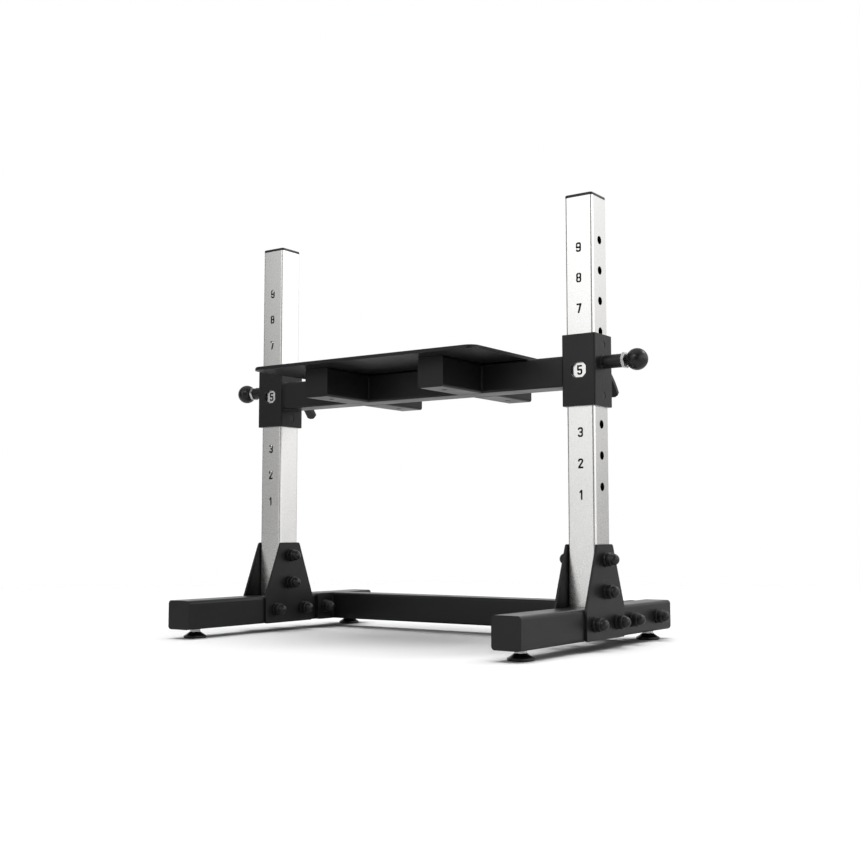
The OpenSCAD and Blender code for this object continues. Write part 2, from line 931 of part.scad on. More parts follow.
module plate_screws() {
    color(zinc)
        at_plate_screws() {
            translate([0, 0, -beam_wall - screw_head_height])
                cylinder(d = screw_head_d, h = screw_head_height);
            translate([0, 0, -beam_wall - EPS])
                cylinder(d = screw_d, h = beam_wall + plate_thickness + EPS - SCREW_DROP);
        }
}

// Plungers
module at_plunger(side) {
    translate([side * half_span, 0, pin_z])
        outward(side)
            translate([0, 0, sleeve_half])
                children();
}

module plunger_housings() {
    color(powder_black)
        for (side = SIDES)
            at_plunger(side)
                difference() {
                    cylinder(d = housing_d, h = housing_length);
                    translate([0, 0, -EPS])
                        cylinder(r = plunger_d / 2 + running_fit, h = housing_length + 2 * EPS);
                }
}

module plunger_bodies() {
    color(zinc)
        for (side = SIDES)
            at_plunger(side)
                difference() {
                    cylinder(d = plunger_d, h = plunger_length);
                    translate([0, 0, -EPS])
                        cylinder(r = plunger_bore_r, h = plunger_length - plunger_end + EPS);
                    translate([0, 0, -EPS])
                        cylinder(r = rod_bore_r, h = plunger_length + 2 * EPS);
                }
}

module plunger_lock_nuts() {
    color(zinc)
        for (side = SIDES)
            at_plunger(side)
                translate([0, 0, housing_length])
                    difference() {
                        linear_extrude(plunger_nut_height)
                            hexagon(plunger_nut_width);
                        translate([0, 0, -EPS])
                            cylinder(r = plunger_d / 2 + running_fit, h = plunger_nut_height + 2 * EPS);
                    }
}

module plunger_pin(side) {
    rod_end = knob_flat + knob_bore - slip_fit;
    color(zinc)
        at_plunger(side) {
            translate([0, 0, pin_tip])
                cylinder(d = pin_d, h = pin_length);
            translate([0, 0, pin_shoulder - EPS])
                cylinder(d = rod_d, h = rod_end - pin_shoulder + EPS);
        }
}

module plunger_knob(side) {
    color(satin_black)
        at_plunger(side)
            difference() {
                translate([0, 0, knob_flat + knob_reach])
                    sphere(d = knob_d);
                cylinder(d = 2 * knob_d, h = knob_flat);
                cylinder(r = rod_d / 2 + running_fit, h = knob_flat + knob_bore);
            }
}

// One unbroken tube along a helix, as rings of points joined by triangles
SPRING_RINGS = 10;
SPRING_SIDES = 6;
spring_rise = (spring_room - spring_wire - 2 * SPRING_END_ROOM) / spring_turns;

function spring_point(i, j) =
    let (turn = i / SPRING_RINGS, angle = 360 * turn, around = 360 * j / SPRING_SIDES)
    let (r = spring_r + spring_wire / 2 * cos(around))
    [r * cos(angle), r * sin(angle), spring_rise * turn + spring_wire / 2 * sin(around)];

module spring() {
    rings = SPRING_RINGS * spring_turns;
    function at(i, j) = i * SPRING_SIDES + j % SPRING_SIDES;
    points = [for (i = [0:rings], j = [0:SPRING_SIDES - 1]) spring_point(i, j)];
    walls = [
        for (i = [0:rings - 1], j = [0:SPRING_SIDES - 1])
            for (face = [
                [at(i, j), at(i + 1, j), at(i + 1, j + 1)],
                [at(i, j), at(i + 1, j + 1), at(i, j + 1)]
            ])
                face
    ];
    start = [for (j = [1:SPRING_SIDES - 2]) [0, at(0, j), at(0, j + 1)]];
    end = [for (j = [1:SPRING_SIDES - 2]) [at(rings, 0), at(rings, j + 1), at(rings, j)]];
    polyhedron(points, concat(walls, start, end));
}

module plunger_spring(side) {
    echo(least_gap_between_spring_turns = spring_rise - spring_wire);
    color(zinc)
        at_plunger(side)
            translate([0, 0, pin_shoulder + SPRING_END_ROOM + spring_wire / 2])
                spring();
}

// Clamps: local Y points to the back from the sleeve's rear face, and Z up from the clamp's axis
module at_clamp(side) {
    translate([side * half_span, sleeve_half, clamp_z])
        mirror([side == LEFT ? 1 : 0, 0, 0])
            children();
}

module ear_outline() {
    translate([pivot_reach, 0])
        circle(ear_radius);
    half = bracket_height / 2;
    polygon([[0, half], [0, -half], [pivot_reach, -ear_radius], [pivot_reach, ear_radius]]);
}

module clamp_brackets() {
    color(powder_black)
        for (side = SIDES)
            at_clamp(side)
                difference() {
                    union() {
                        for (x = [-1, 1])
                            translate([x * (ear_gap + ear_thickness) / 2, 0, 0])
                                along_x()
                                    linear_extrude(ear_thickness, center = true)
                                        ear_outline();
                        translate([0, bracket_base / 2, 0])
                            cube([ear_gap + EPS, bracket_base, bracket_height], center = true);
                    }
                    translate([0, -EPS, 0])
                        rotate([-90, 0, 0])
                            cylinder(r = piston_d / 2 + running_fit, h = bracket_base + 2 * EPS);
                    translate([0, pivot_reach, 0])
                        rotate([0, 90, 0])
                            cylinder(r = pivot_d / 2 + running_fit, h = 3 * ear_gap, center = true);
                }
}

module clamp_pivot_pins() {
    grip = ear_gap + 2 * ear_thickness;
    color(zinc)
        for (side = SIDES)
            at_clamp(side)
                translate([0, pivot_reach, 0])
                    rotate([0, 90, 0]) {
                        cylinder(d = pivot_d, h = grip + 2 * EPS, center = true);
                        for (end = [-1, 1])
                            translate([0, 0, end * (grip + pivot_head) / 2])
                                cylinder(d = pivot_head_d, h = pivot_head, center = true);
                    }
}

// The lever's side view around its pivot: the cam and the curved handle
module lever_profile() {
    low = lever_angle - lever_sweep - lever_point_sweep;
    far = 2 * lever_radius;
    difference() {
        union() {
            translate(cam_throw * [cos(cam_angle), sin(cam_angle)])
                circle(d = cam_d);
            intersection() {
                translate(lever_centre)
                    difference() {
                        circle(lever_radius, $fn = 180);
                        circle(lever_radius - lever_thickness, $fn = 180);
                    }
                translate(lever_centre)
                    polygon([[0, 0], far * [cos(low), sin(low)], far * [cos(lever_angle), sin(lever_angle)]]);
            }
        }
        circle(pivot_d / 2 + running_fit);
    }
}

// The lever's outline as seen square to its handle, from the narrow hub to the pointed end
module lever_plan() {
    hub = lever_width / 2;
    half = handle_width / 2;
    hub_end = handle_start - half + hub;
    polygon([
        [-cam_d, -hub], [hub_end, -hub], [handle_start, -half], [lever_chord, -half],
        [lever_chord + lever_point, 0],
        [lever_chord, half], [handle_start, half], [hub_end, hub], [-cam_d, hub]
    ]);
}

module clamp_lever(side) {
    color(satin_black)
        at_clamp(side)
            translate([0, pivot_reach, 0])
                intersection() {
                    along_x()
                        linear_extrude(handle_width, center = true)
                            lever_profile();
                    rotate([lever_chord_angle, 0, 0])
                        rotate([0, 0, 90])
                            linear_extrude(4 * cam_d, center = true)
                                lever_plan();
                }
}

module clamp_piston(side) {
    front = clamp_pad_front + clamp_pad_thickness;
    color(zinc)
        at_clamp(side)
            translate([0, front, 0])
                rotate([-90, 0, 0])
                    cylinder(d = piston_d, h = piston_back - front);
}

module clamp_pad(side) {
    color(rubber_black)
        at_clamp(side)
            translate([0, clamp_pad_front, 0])
                rotate([-90, 0, 0])
                    cylinder(d = clamp_pad_d, h = clamp_pad_thickness);
}

rail(LEFT);  // rail_left
rail(RIGHT);  // rail_right
rail_end_plates();
upright(LEFT);  // upright_left
upright(RIGHT);  // upright_right
upright_caps();
gusset(LEFT, 1);  // gusset_left_outer
gusset(LEFT, -1);  // gusset_left_inner
gusset(RIGHT, -1);  // gusset_right_inner
gusset(RIGHT, 1);  // gusset_right_outer
rear_crossbar();
crossbar_flanges();
bolts(UPRIGHT_BOLTS, gusset_face, gusset_face);  // upright_bolts
bolts(RAIL_BOLTS, gusset_face, gusset_face);  // rail_bolts
bolts(CROSSBAR_BOLTS, frame_half, flange_face);  // crossbar_bolts
bolt_nuts();
cap_washers();
bolt_caps();
foot_lock_nuts();
foot_weld_nuts();
foot_pad(LEFT, -foot_y);  // foot_pad_front_left
foot_pad(RIGHT, -foot_y);  // foot_pad_front_right
foot_pad(LEFT, foot_y);  // foot_pad_rear_left
foot_pad(RIGHT, foot_y);  // foot_pad_rear_right
foot_stud(LEFT, -foot_y);  // foot_stud_front_left
foot_stud(RIGHT, -foot_y);  // foot_stud_front_right
foot_stud(LEFT, foot_y);  // foot_stud_rear_left
foot_stud(RIGHT, foot_y);  // foot_stud_rear_right
sleeve(LEFT);  // sleeve_left
sleeve(RIGHT);  // sleeve_right
liners(1);  // upper_liners
liners(-1);  // lower_liners
crossbeam();
arms(-1);  // front_arms
arms(1);  // rear_arms
arm_end_plates();
platform_plate();
platform_mat();
plate_screws();
plunger_housings();
plunger_bodies();
plunger_lock_nuts();
clamp_brackets();
clamp_pivot_pins();
plunger_pin(LEFT);  // plunger_pin_left
plunger_pin(RIGHT);  // plunger_pin_right
plunger_knob(LEFT);  // plunger_knob_left
plunger_knob(RIGHT);  // plunger_knob_right
plunger_spring(LEFT);  // plunger_spring_left
plunger_spring(RIGHT);  // plunger_spring_right
clamp_lever(LEFT);  // clamp_lever_left
clamp_lever(RIGHT);  // clamp_lever_right
clamp_piston(LEFT);  // clamp_piston_left
clamp_piston(RIGHT);  // clamp_piston_right
clamp_pad(LEFT);  // clamp_pad_left
clamp_pad(RIGHT);  // clamp_pad_right
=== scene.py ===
import math

import bmesh
import bpy
from bpy.props import FloatProperty, FloatVectorProperty, IntProperty, PointerProperty
from mathutils import Matrix, Vector


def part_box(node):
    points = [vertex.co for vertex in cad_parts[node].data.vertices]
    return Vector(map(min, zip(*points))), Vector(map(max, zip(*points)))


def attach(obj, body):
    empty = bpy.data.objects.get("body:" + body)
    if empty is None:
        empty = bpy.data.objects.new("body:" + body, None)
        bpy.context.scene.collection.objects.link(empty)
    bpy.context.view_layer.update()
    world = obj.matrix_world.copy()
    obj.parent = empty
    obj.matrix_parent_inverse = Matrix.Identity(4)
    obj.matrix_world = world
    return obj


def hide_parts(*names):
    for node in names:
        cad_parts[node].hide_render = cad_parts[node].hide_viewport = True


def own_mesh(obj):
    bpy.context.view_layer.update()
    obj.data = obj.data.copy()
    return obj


bl_info = {
    "name": "Adjustable Step-up Platform",
    "version": (1, 0, 0),
    "blender": (4, 5, 0),
    "location": "View3D > Sidebar > Step-up Platform",
    "description": "Dresses the frame of an adjustable step-up platform and sets a studio around it",
    "category": "Object",
}

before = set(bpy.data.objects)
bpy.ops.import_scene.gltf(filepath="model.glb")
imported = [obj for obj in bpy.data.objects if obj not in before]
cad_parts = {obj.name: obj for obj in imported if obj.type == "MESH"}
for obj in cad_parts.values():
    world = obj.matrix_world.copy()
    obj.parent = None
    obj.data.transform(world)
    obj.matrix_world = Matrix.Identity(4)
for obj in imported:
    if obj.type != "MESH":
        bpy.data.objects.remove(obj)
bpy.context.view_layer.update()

LEFT = -1
RIGHT = 1
SIDES = {"left": LEFT, "right": RIGHT}
CORNERS = ("front_left", "front_right", "rear_left", "rear_right")


def centre_of(node):
    """Middle of a CAD node's box."""
    low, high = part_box(node)
    return (low + high) / 2


def size_of(node):
    """Size of a CAD node's box."""
    low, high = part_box(node)
    return high - low


UPRIGHT_X = centre_of("upright_right").x
UPRIGHT_HALF = size_of("upright_right").x / 2
UPRIGHT_ROUND = 0.0045
SLEEVE_HALF = size_of("sleeve_right").x / 2
PIN_Z = centre_of("plunger_pin_right").z
RAIL_Z = centre_of("rail_right").z

# Distance between the rings of a weld bead, and how far a bead stops short of a beam's edge
BEAD_STEP = 0.0006
BEAD_INSET = 0.004

# The point that the lamps are aimed at
STAGE_MIDDLE = Vector((0, 0, 0.3))

FULL_TURN = 2 * math.pi

# A turned point with less radius than this lies on the axis
ON_AXIS = 1e-7


class FinishSettings(bpy.types.PropertyGroup):
    """Colours and roughness of the surfaces, and how far edges are eased."""

    powder: FloatVectorProperty(
        name="Powder coat", description="Colour of the black powder coat",
        default=(0.0085, 0.0085, 0.0087), subtype="COLOR", min=0, max=1)
    powder_rough: FloatProperty(
        name="Powder coat roughness", description="Mean roughness of the powder coat",
        default=0.37, min=0, max=1, subtype="FACTOR")
    steel: FloatVectorProperty(
        name="Steel", description="Colour of the bright steel uprights",
        default=(0.92, 0.915, 0.9), subtype="COLOR", min=0, max=1)
    steel_rough: FloatProperty(
        name="Steel roughness", description="Mean roughness of the uprights",
        default=0.28, min=0, max=1, subtype="FACTOR")
    zinc: FloatVectorProperty(
        name="Zinc", description="Colour of the zinc plated hardware",
        default=(0.66, 0.66, 0.67), subtype="COLOR", min=0, max=1)
    plastic: FloatVectorProperty(
        name="Plastic", description="Colour of domes, caps, knobs, levers, liners and feet",
        default=(0.009, 0.009, 0.0093), subtype="COLOR", min=0, max=1)
    rubber: FloatVectorProperty(
        name="Rubber", description="Colour of the mat and the clamp pads",
        default=(0.013, 0.013, 0.0135), subtype="COLOR", min=0, max=1)
    # Painted shade: the reach around each cut within which the steel is darkened
    cut_shade_reach: FloatProperty(
        name="Cut tint", description="Distance within which a cut darkens the steel around it",
        default=0.0009, unit="LENGTH", precision=4)
    plate_edge: FloatProperty(
        name="Plate edge", description="Radius of the eased edges of plates and tubes",
        default=0.0008, min=0, unit="LENGTH", precision=4)
    cut_edge: FloatProperty(
        name="Cut edge", description="Radius of the edges of holes and numbers in the uprights",
        default=0.0002, min=0, unit="LENGTH", precision=4)


class BoltSettings(bpy.types.PropertyGroup):
    """Places of the bolts and sizes of their domes."""

    upper_z: FloatProperty(
        name="Upper bolt", description="Height of the upper bolt of each upright",
        default=0.1415, unit="LENGTH", precision=4)
    lower_z: FloatProperty(
        name="Lower bolt", description="Height of the lower bolt of each upright",
        default=0.091, unit="LENGTH", precision=4)
    rail_y: FloatProperty(
        name="Rail bolts", description="Distance of the rail bolts from the upright's centre line",
        default=0.038, unit="LENGTH", precision=4)
    flange_y: FloatProperty(
        name="Flange bolts", description="Distance of the flange bolts from the crossbar's centre line",
        default=0.049, unit="LENGTH", precision=4)
    washer_radius: FloatProperty(
        name="Washer radius", description="Outer radius of the washer under a dome",
        default=0.01219, unit="LENGTH", precision=4)
    washer_taper: FloatProperty(
        name="Washer taper", description="Taper of the washer's edge, on the radius",
        default=0.0005, unit="LENGTH", precision=4)
    washer_height: FloatProperty(
        name="Washer height", description="Thickness of the washer under a dome",
        default=0.0044, unit="LENGTH", precision=4)
    skirt_radius: FloatProperty(
        name="Skirt radius", description="Radius of a dome's skirt",
        default=0.01119, unit="LENGTH", precision=4)
    skirt_top: FloatProperty(
        name="Skirt top", description="Height of the shoulder between skirt and round top",
        default=0.0125, unit="LENGTH", precision=4)
    dome_radius: FloatProperty(
        name="Dome radius", description="Radius of a dome's round top",
        default=0.0092, unit="LENGTH", precision=4)
    dome_top: FloatProperty(
        name="Dome top", description="Height of a whole dome above the plate",
        default=0.0234, unit="LENGTH", precision=4)


class FootSettings(bpy.types.PropertyGroup):
    """Sizes of the levelling feet."""

    rim: FloatProperty(
        name="Rim", description="Height of the pad's rim",
        default=0.004, unit="LENGTH", precision=4)
    cone_base: FloatProperty(
        name="Cone base", description="Lower radius of the pad's cone",
        default=0.019, unit="LENGTH", precision=4)
    cone_top: FloatProperty(
        name="Cone top", description="Upper radius of the pad's cone",
        default=0.0105, unit="LENGTH", precision=4)
    pitch: FloatProperty(
        name="Thread pitch", description="Rise of the stud's thread in one turn",
        default=0.0015, unit="LENGTH", precision=4)
    nut_width: FloatProperty(
        name="Nut width", description="Width across the flats of the foot's lock nut",
        default=0.016, unit="LENGTH", precision=4)


class PlungerSettings(bpy.types.PropertyGroup):
    """Sizes of the locking plungers."""

    knob_radius: FloatProperty(
        name="Knob radius", description="Radius of the ball knob",
        default=0.0175, unit="LENGTH", precision=4)
    flat_radius: FloatProperty(
        name="Flat radius", description="Radius of the knob's flat face",
        default=0.0105, unit="LENGTH", precision=4)
    pin_radius: FloatProperty(
        name="Pin radius", description="Radius of the locking pin",
        default=0.006, unit="LENGTH", precision=4)
    rod_radius: FloatProperty(
        name="Rod radius", description="Radius of the rod between pin and knob",
        default=0.003, unit="LENGTH", precision=4)
    pin_length: FloatProperty(
        name="Pin length", description="Length of the thick end of the pin",
        default=0.0197, unit="LENGTH", precision=4)
    nut_width: FloatProperty(
        name="Nut width", description="Width across the flats of the plunger's lock nut",
        default=0.024, unit="LENGTH", precision=4)
    wire: FloatProperty(
        name="Wire", description="Radius of the spring's wire",
        default=0.0006, unit="LENGTH", precision=4)
    turns: IntProperty(
        name="Turns", description="Number of turns of the spring", default=9, min=1)
    pull: FloatProperty(
        name="Pull", description="Distance that a pulled plunger shortens its spring by",
        default=0.008, unit="LENGTH", precision=4)


class WeldSettings(bpy.types.PropertyGroup):
    """Sizes of the weld beads."""

    beam: FloatProperty(
        name="Beam bead", description="Radius of the beads on beams and arms",
        default=0.0021, unit="LENGTH", precision=4)
    housing: FloatProperty(
        name="Housing bead", description="Radius of the beads around the plunger housings",
        default=0.0014, unit="LENGTH", precision=4)
    ripple: FloatProperty(
        name="Ripple", description="Distance between the ripples of a bead",
        default=0.0024, unit="LENGTH", precision=4)


class StageSettings(bpy.types.PropertyGroup):
    """Camera, floor and light."""

    camera: FloatVectorProperty(
        name="Camera", description="Place of the camera",
        default=(1.228, -1.7191, 0.1825), unit="LENGTH", precision=4)
    yaw: FloatProperty(
        name="Yaw", description="Turn of the camera to the left",
        default=math.radians(35.06), unit="ROTATION")
    pitch: FloatProperty(
        name="Pitch", description="Tilt of the camera upward",
        default=math.radians(4.94), unit="ROTATION")
    lens: FloatProperty(
        name="Lens", description="Focal length in millimetres", default=50.11, min=10)
    floor_clear: FloatProperty(
        name="Clear floor", description="Radius within which the floor takes shadows in full",
        default=1.3, unit="LENGTH")
    floor_end: FloatProperty(
        name="Floor end", description="Radius at which the floor has faded into the backdrop",
        default=2.4, unit="LENGTH")
    floor_colour: FloatProperty(
        name="Floor", description="Lightness of the floor", default=0.94, min=0, max=1)
    # Painted shade in reflections: glossy surfaces see the floor at this darker lightness
    floor_shade_in_gloss: FloatProperty(
        name="Mirrored floor", description="Lightness of the floor as it shows in glossy surfaces",
        default=0.54, min=0, max=1)
    key_power: FloatProperty(
        name="Key power", description="Power of the rear soft light in watts", default=18)
    key_size: FloatProperty(
        name="Key size", description="Side of the rear soft light", default=0.8, unit="LENGTH")
    key_place: FloatVectorProperty(
        name="Key place", description="Place of the rear soft light",
        default=(1.55, 1.84, 2.6), unit="LENGTH")
    fill_power: FloatProperty(
        name="Fill power", description="Power of the small front light in watts", default=10)
    fill_size: FloatProperty(
        name="Fill size", description="Side of the small front light", default=0.7, unit="LENGTH")
    fill_place: FloatVectorProperty(
        name="Fill place", description="Place of the small front light",
        default=(0.13, -2.42, 1.96), unit="LENGTH")
    sky_level: FloatProperty(
        name="Sky level", description="Strength of the light from all of the ceiling", default=0.42, min=0)
    top_level: FloatProperty(
        name="Top level", description="Strength of the light from straight above", default=5.6, min=0)


class PlatformSettings(bpy.types.PropertyGroup):
    """All sizes and colours of the step-up platform's looks."""

    finish: PointerProperty(type=FinishSettings)
    bolts: PointerProperty(type=BoltSettings)
    feet: PointerProperty(type=FootSettings)
    plungers: PointerProperty(type=PlungerSettings)
    welds: PointerProperty(type=WeldSettings)
    stage: PointerProperty(type=StageSettings)


def settings():
    """The settings that this file adds to the scene."""
    return bpy.context.scene.step_platform


# Materials


class Nodes:
    """A node tree, with short ways to add and join nodes."""

    def __init__(self, tree):
        self.tree = tree

    def add(self, kind, inputs=None, **values):
        """A node with its settings and sockets set. A socket's value may be another node's output."""
        node = self.tree.nodes.new(kind)
        for key, value in values.items():
            setattr(node, key, value)
        for key, value in (inputs or {}).items():
            self.put(node.inputs[key], value)
        return node

    def put(self, socket, value):
        """Sets a socket to a number or colour, or joins it to another node's output."""
        if isinstance(value, bpy.types.NodeSocket):
            self.tree.links.new(value, socket)
        else:
            socket.default_value = value

    def spread(self, value, low, high, start=0.3, end=0.7, kind="LINEAR"):
        """A value spread to another range."""
        inputs = {"Value": value, "From Min": start, "From Max": end, "To Min": low, "To Max": high}
        return self.add("ShaderNodeMapRange", inputs, interpolation_type=kind).outputs["Result"]

    def smooth(self, value, start, end, low=0.0, high=1.0):
        """A value that passes gently from one level to another."""
        return self.spread(value, low, high, start, end, "SMOOTHSTEP")

    def math(self, operation, first, second):
        """Two numbers put together."""
        return self.add("ShaderNodeMath", {0: first, 1: second}, operation=operation).outputs["Value"]

    def vector(self, operation, first, second=(0, 0, 0), output="Vector"):
        """Two vectors put together."""
        return self.add("ShaderNodeVectorMath", {0: first, 1: second}, operation=operation).outputs[output]

    def mix(self, factor, first, second):
        """A number between two others."""
        inputs = {"Factor": factor, "A": first, "B": second}
        return self.add("ShaderNodeMix", inputs, data_type="FLOAT").outputs["Result"]


class Shader(Nodes):
    """A new material, and its surface."""

    def __init__(self, name):
        self.material = bpy.data.materials.new(name)
        self.material.use_nodes = True
        super().__init__(self.material.node_tree)
        self.surface = self.tree.nodes["Principled BSDF"]
        self.place = self.add("ShaderNodeTexCoord").outputs["Object"]

    def stretched(self, scale):
        """The surface's coordinates, stretched."""
        return self.add("ShaderNodeMapping", {"Vector": self.place, "Scale": scale}).outputs["Vector"]

    def noise(self, scale, detail=3.0, where=None, rough=0.5):
        """A noise value. Scale is in cells per metre."""
        inputs = {"Vector": where or self.place, "Scale": scale, "Detail": detail, "Roughness": rough}
        return self.add("ShaderNodeTexNoise", inputs).outputs["Fac"]

    def blend(self, factor, first, second):
        """A colour between two others."""
        node = self.add("ShaderNodeMix", data_type="RGBA")
        self.put(node.inputs["Factor"], factor)
        for name, colour in (("A", first), ("B", second)):
            self.put(node.inputs[name], colour if isinstance(colour, bpy.types.NodeSocket) else (*colour, 1))
        return node.outputs["Result"]

    def bump(self, height, distance, strength=1.0, normal=None):
        """A surface normal from a height."""
        inputs = {"Height": height, "Distance": distance, "Strength": strength}
        if normal:
            inputs["Normal"] = normal
        return self.add("ShaderNodeBump", inputs).outputs["Normal"]

    def openness(self, distance):
        """1 where the solid below a point is whole, and less near its edges and cuts."""
        switches = {"samples": 12, "inside": True, "only_local": True}
        return self.add("ShaderNodeAmbientOcclusion", {"Distance": distance}, **switches).outputs["AO"]

    def set(self, **values):
        """Sets sockets of the surface, with underscores for the spaces in their names."""
        for key, value in values.items():
            self.put(self.surface.inputs[key.replace("_", " ")], value)
        return self.material


MATERIALS = {}


def material(name):
    """The material of that name, made the first time it is asked for."""
    if name not in MATERIALS:
        paint = FINISHES[name][0]
        MATERIALS[name] = paint(settings().finish)
    return MATERIALS[name]


def shade(colour, factor):
    """A colour made lighter or darker."""
    return tuple(min(1.0, part * factor) for part in colour)


def powder_coat(finish):
    """Black powder coat: semi-gloss, with a fine orange-peel grain."""
    s = Shader("powder_coat")
    grain = s.noise(1500, detail=2)
    peel = s.noise(420, detail=1)
    drift = s.noise(14, detail=3)
    normal = s.bump(peel, 0.0002, 0.25)
    normal = s.bump(grain, 0.00006, 0.5, normal)
    rough = s.spread(drift, finish.powder_rough - 0.04, finish.powder_rough + 0.05)
    colour = s.blend(grain, shade(finish.powder, 0.75), shade(finish.powder, 1.3))
    return s.set(Base_Color=colour, Roughness=rough, Normal=normal, Specular_IOR_Level=0.37)


def outer_face(s):
    """1 on the outer faces of the uprights, and 0 on cut walls and inside the tube."""
    straight = UPRIGHT_HALF - UPRIGHT_ROUND
    mirrored = s.vector("SUBTRACT", s.vector("ABSOLUTE", s.place), (UPRIGHT_X, 0, 0))
    across = s.vector("MULTIPLY", s.vector("ABSOLUTE", mirrored), (1, 1, 0))
    past = s.vector("MAXIMUM", s.vector("SUBTRACT", across, (straight, straight, 0)), (0, 0, 0))
    reach = s.vector("LENGTH", past, output="Value")
    return s.smooth(reach, UPRIGHT_ROUND - 0.0012, UPRIGHT_ROUND - 0.0004)


def satin_steel(finish):
    """Bright satin steel with a fine grain along the tube. Cut walls, the inside of the tube and a rim
    around each cut get painted shade, near black.
    """
    s = Shader("satin_steel")
    lines = s.noise(1, detail=4, where=s.stretched((1800, 1800, 40)), rough=0.6)
    speckle = s.noise(900, detail=3, rough=0.7)
    cloud = s.noise(9, detail=2)
    normal = s.bump(lines, 0.00003, 0.07)
    normal = s.bump(speckle, 0.00003, 0.2, normal)
    rough = s.spread(speckle, finish.steel_rough - 0.05, finish.steel_rough + 0.07)
    bright = s.blend(s.spread(cloud, 0, 1), shade(finish.steel, 0.965), finish.steel)
    # Painted shade: outer faces away from cuts keep the steel colour, while cut walls, the tube's inside and
    # the rims of cuts turn near black
    clear_of_painted_shade = s.math("MULTIPLY", outer_face(s), s.smooth(s.openness(finish.cut_shade_reach), 0.7, 0.9))
    colour = s.blend(clear_of_painted_shade, shade(finish.steel, 0.06), bright)
    return s.set(Base_Color=colour, Metallic=1.0, Roughness=rough, Normal=normal)


def zinc_plate(finish):
    """Zinc plated steel: bright, with a faint mottle."""
    s = Shader("zinc_plate")
    mottle = s.noise(260, detail=2)
    fine = s.noise(1600, detail=2)
    rough = s.spread(mottle, 0.2, 0.34)
    colour = s.blend(s.spread(mottle, 0, 1), shade(finish.zinc, 0.9), finish.zinc)
    return s.set(Base_Color=colour, Metallic=1.0, Roughness=rough, Normal=s.bump(fine, 0.00003, 0.3))


def satin_plastic(finish):
    """Moulded black plastic with a fine spark-eroded texture."""
    s = Shader("satin_plastic")
    fine = s.noise(2200, detail=2)
    flow = s.noise(60, detail=2)
    rough = s.spread(flow, 0.29, 0.35)
    colour = s.blend(fine, shade(finish.plastic, 0.8), shade(finish.plastic, 1.25))
    normal = s.bump(fine, 0.00004, 0.45)
    return s.set(Base_Color=colour, Roughness=rough, Normal=normal, Specular_IOR_Level=0.42)


def matt_rubber(finish):
    """Matt black rubber with a pebbled skin."""
    s = Shader("matt_rubber")
    cells = s.add("ShaderNodeTexVoronoi", {"Vector": s.place, "Scale": 700}, feature="SMOOTH_F1")
    pebble = cells.outputs["Distance"]
    dust = s.noise(120, detail=4)
    rough = s.spread(dust, 0.6, 0.74)
    colour = s.blend(s.spread(dust, 0, 1), finish.rubber, shade(finish.rubber, 1.5))
    return s.set(Base_Color=colour, Roughness=rough, Normal=s.bump(pebble, 0.00025, 0.6))


def moulded_foot(finish):
    """Black moulded plastic of the levelling pads, glossier than the domes."""
    s = Shader("moulded_foot")
    fine = s.noise(900, detail=2)
    rough = s.spread(fine, 0.26, 0.4)
    colour = s.blend(fine, shade(finish.plastic, 0.7), shade(finish.plastic, 1.2))
    return s.set(Base_Color=colour, Roughness=rough, Normal=s.bump(fine, 0.00005, 0.4))


# Each finish: the function that makes its material, and its slot
FINISHES = {
    "powder": (powder_coat, "powder_black"),
    "steel": (satin_steel, "bright_steel"),
    "zinc": (zinc_plate, "zinc_steel"),
    "plastic": (satin_plastic, "satin_plastic"),
    "rubber": (matt_rubber, "rubber"),
    "foot": (moulded_foot, "rubber"),
}


# Dressing of CAD nodes and making of pieces


def dress(node, finish, edge=0.0):
    """Gives a CAD node its material and eases its edges with modifiers."""
    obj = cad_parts[node]
    if not obj.material_slots:
        obj.data.materials.append(None)
    for slot in obj.material_slots:
        slot.material = material(finish)
    if edge > 0:
        weld = obj.modifiers.new("join_faces", "WELD")
        weld.merge_threshold = 2e-6
        bevel = obj.modifiers.new("eased_edges", "BEVEL")
        bevel.width = edge
        bevel.segments = 2
        bevel.limit_method = "ANGLE"
        bevel.angle_limit = math.radians(40)
        bevel.use_clamp_overlap = True
        normals = obj.modifiers.new("face_normals", "WEIGHTED_NORMAL")
        normals.weight = 100


def add_object(name, data):
    """An object in the scene, from its data or from a bmesh, which is freed."""
    if isinstance(data, bmesh.types.BMesh):
        mesh = bpy.data.meshes.new(name)
        data.to_mesh(mesh)
        data.free()
        data = mesh
    obj = bpy.data.objects.new(name, data)
    bpy.context.scene.collection.objects.link(obj)
    return obj


def make_piece(name, bm, finish, body, replaces=(), sharp=35):
    """Turns a bmesh into a piece that rides on a body, stands for CAD nodes and has a material."""
    bmesh.ops.recalc_face_normals(bm, faces=bm.faces)
    obj = add_object(name, bm)
    obj.data.shade_smooth()
    obj.data.set_sharp_from_angle(angle=math.radians(sharp))
    obj.data.materials.append(material(finish))
    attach(obj, body)
    if replaces:
        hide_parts(*replaces)
    return obj


def outward(side, x, y, z):
    """A place whose local Z points away from the stand's middle along X."""
    return Matrix.Translation((x, y, z)) @ Matrix.Rotation(side * math.pi / 2, 4, "Y")


def skin(bm, rings, closed=False, caps=True):
    """Faces between rings of vertices. A ring of one vertex is a pole.

    Closed joins the last ring to the first. Otherwise caps close both ends.
    """
    pairs = list(zip(rings, rings[1:]))
    if closed:
        pairs.append((rings[-1], rings[0]))
    for low, high in pairs:
        count = max(len(low), len(high))
        for i in range(count):
            j = (i + 1) % count
            corners = [low[i % len(low)], low[j % len(low)], high[j % len(high)], high[i % len(high)]]
            unique = list(dict.fromkeys(corners))
            if len(unique) > 2:
                bm.faces.new(unique)
    if caps and not closed:
        for ring in (rings[0], rings[-1]):
            if len(ring) > 2:
                bm.faces.new(ring)


def around(radius, angle, height=0.0):
    """A point at an angle around local Z."""
    return Vector((radius * math.cos(angle), radius * math.sin(angle), height))


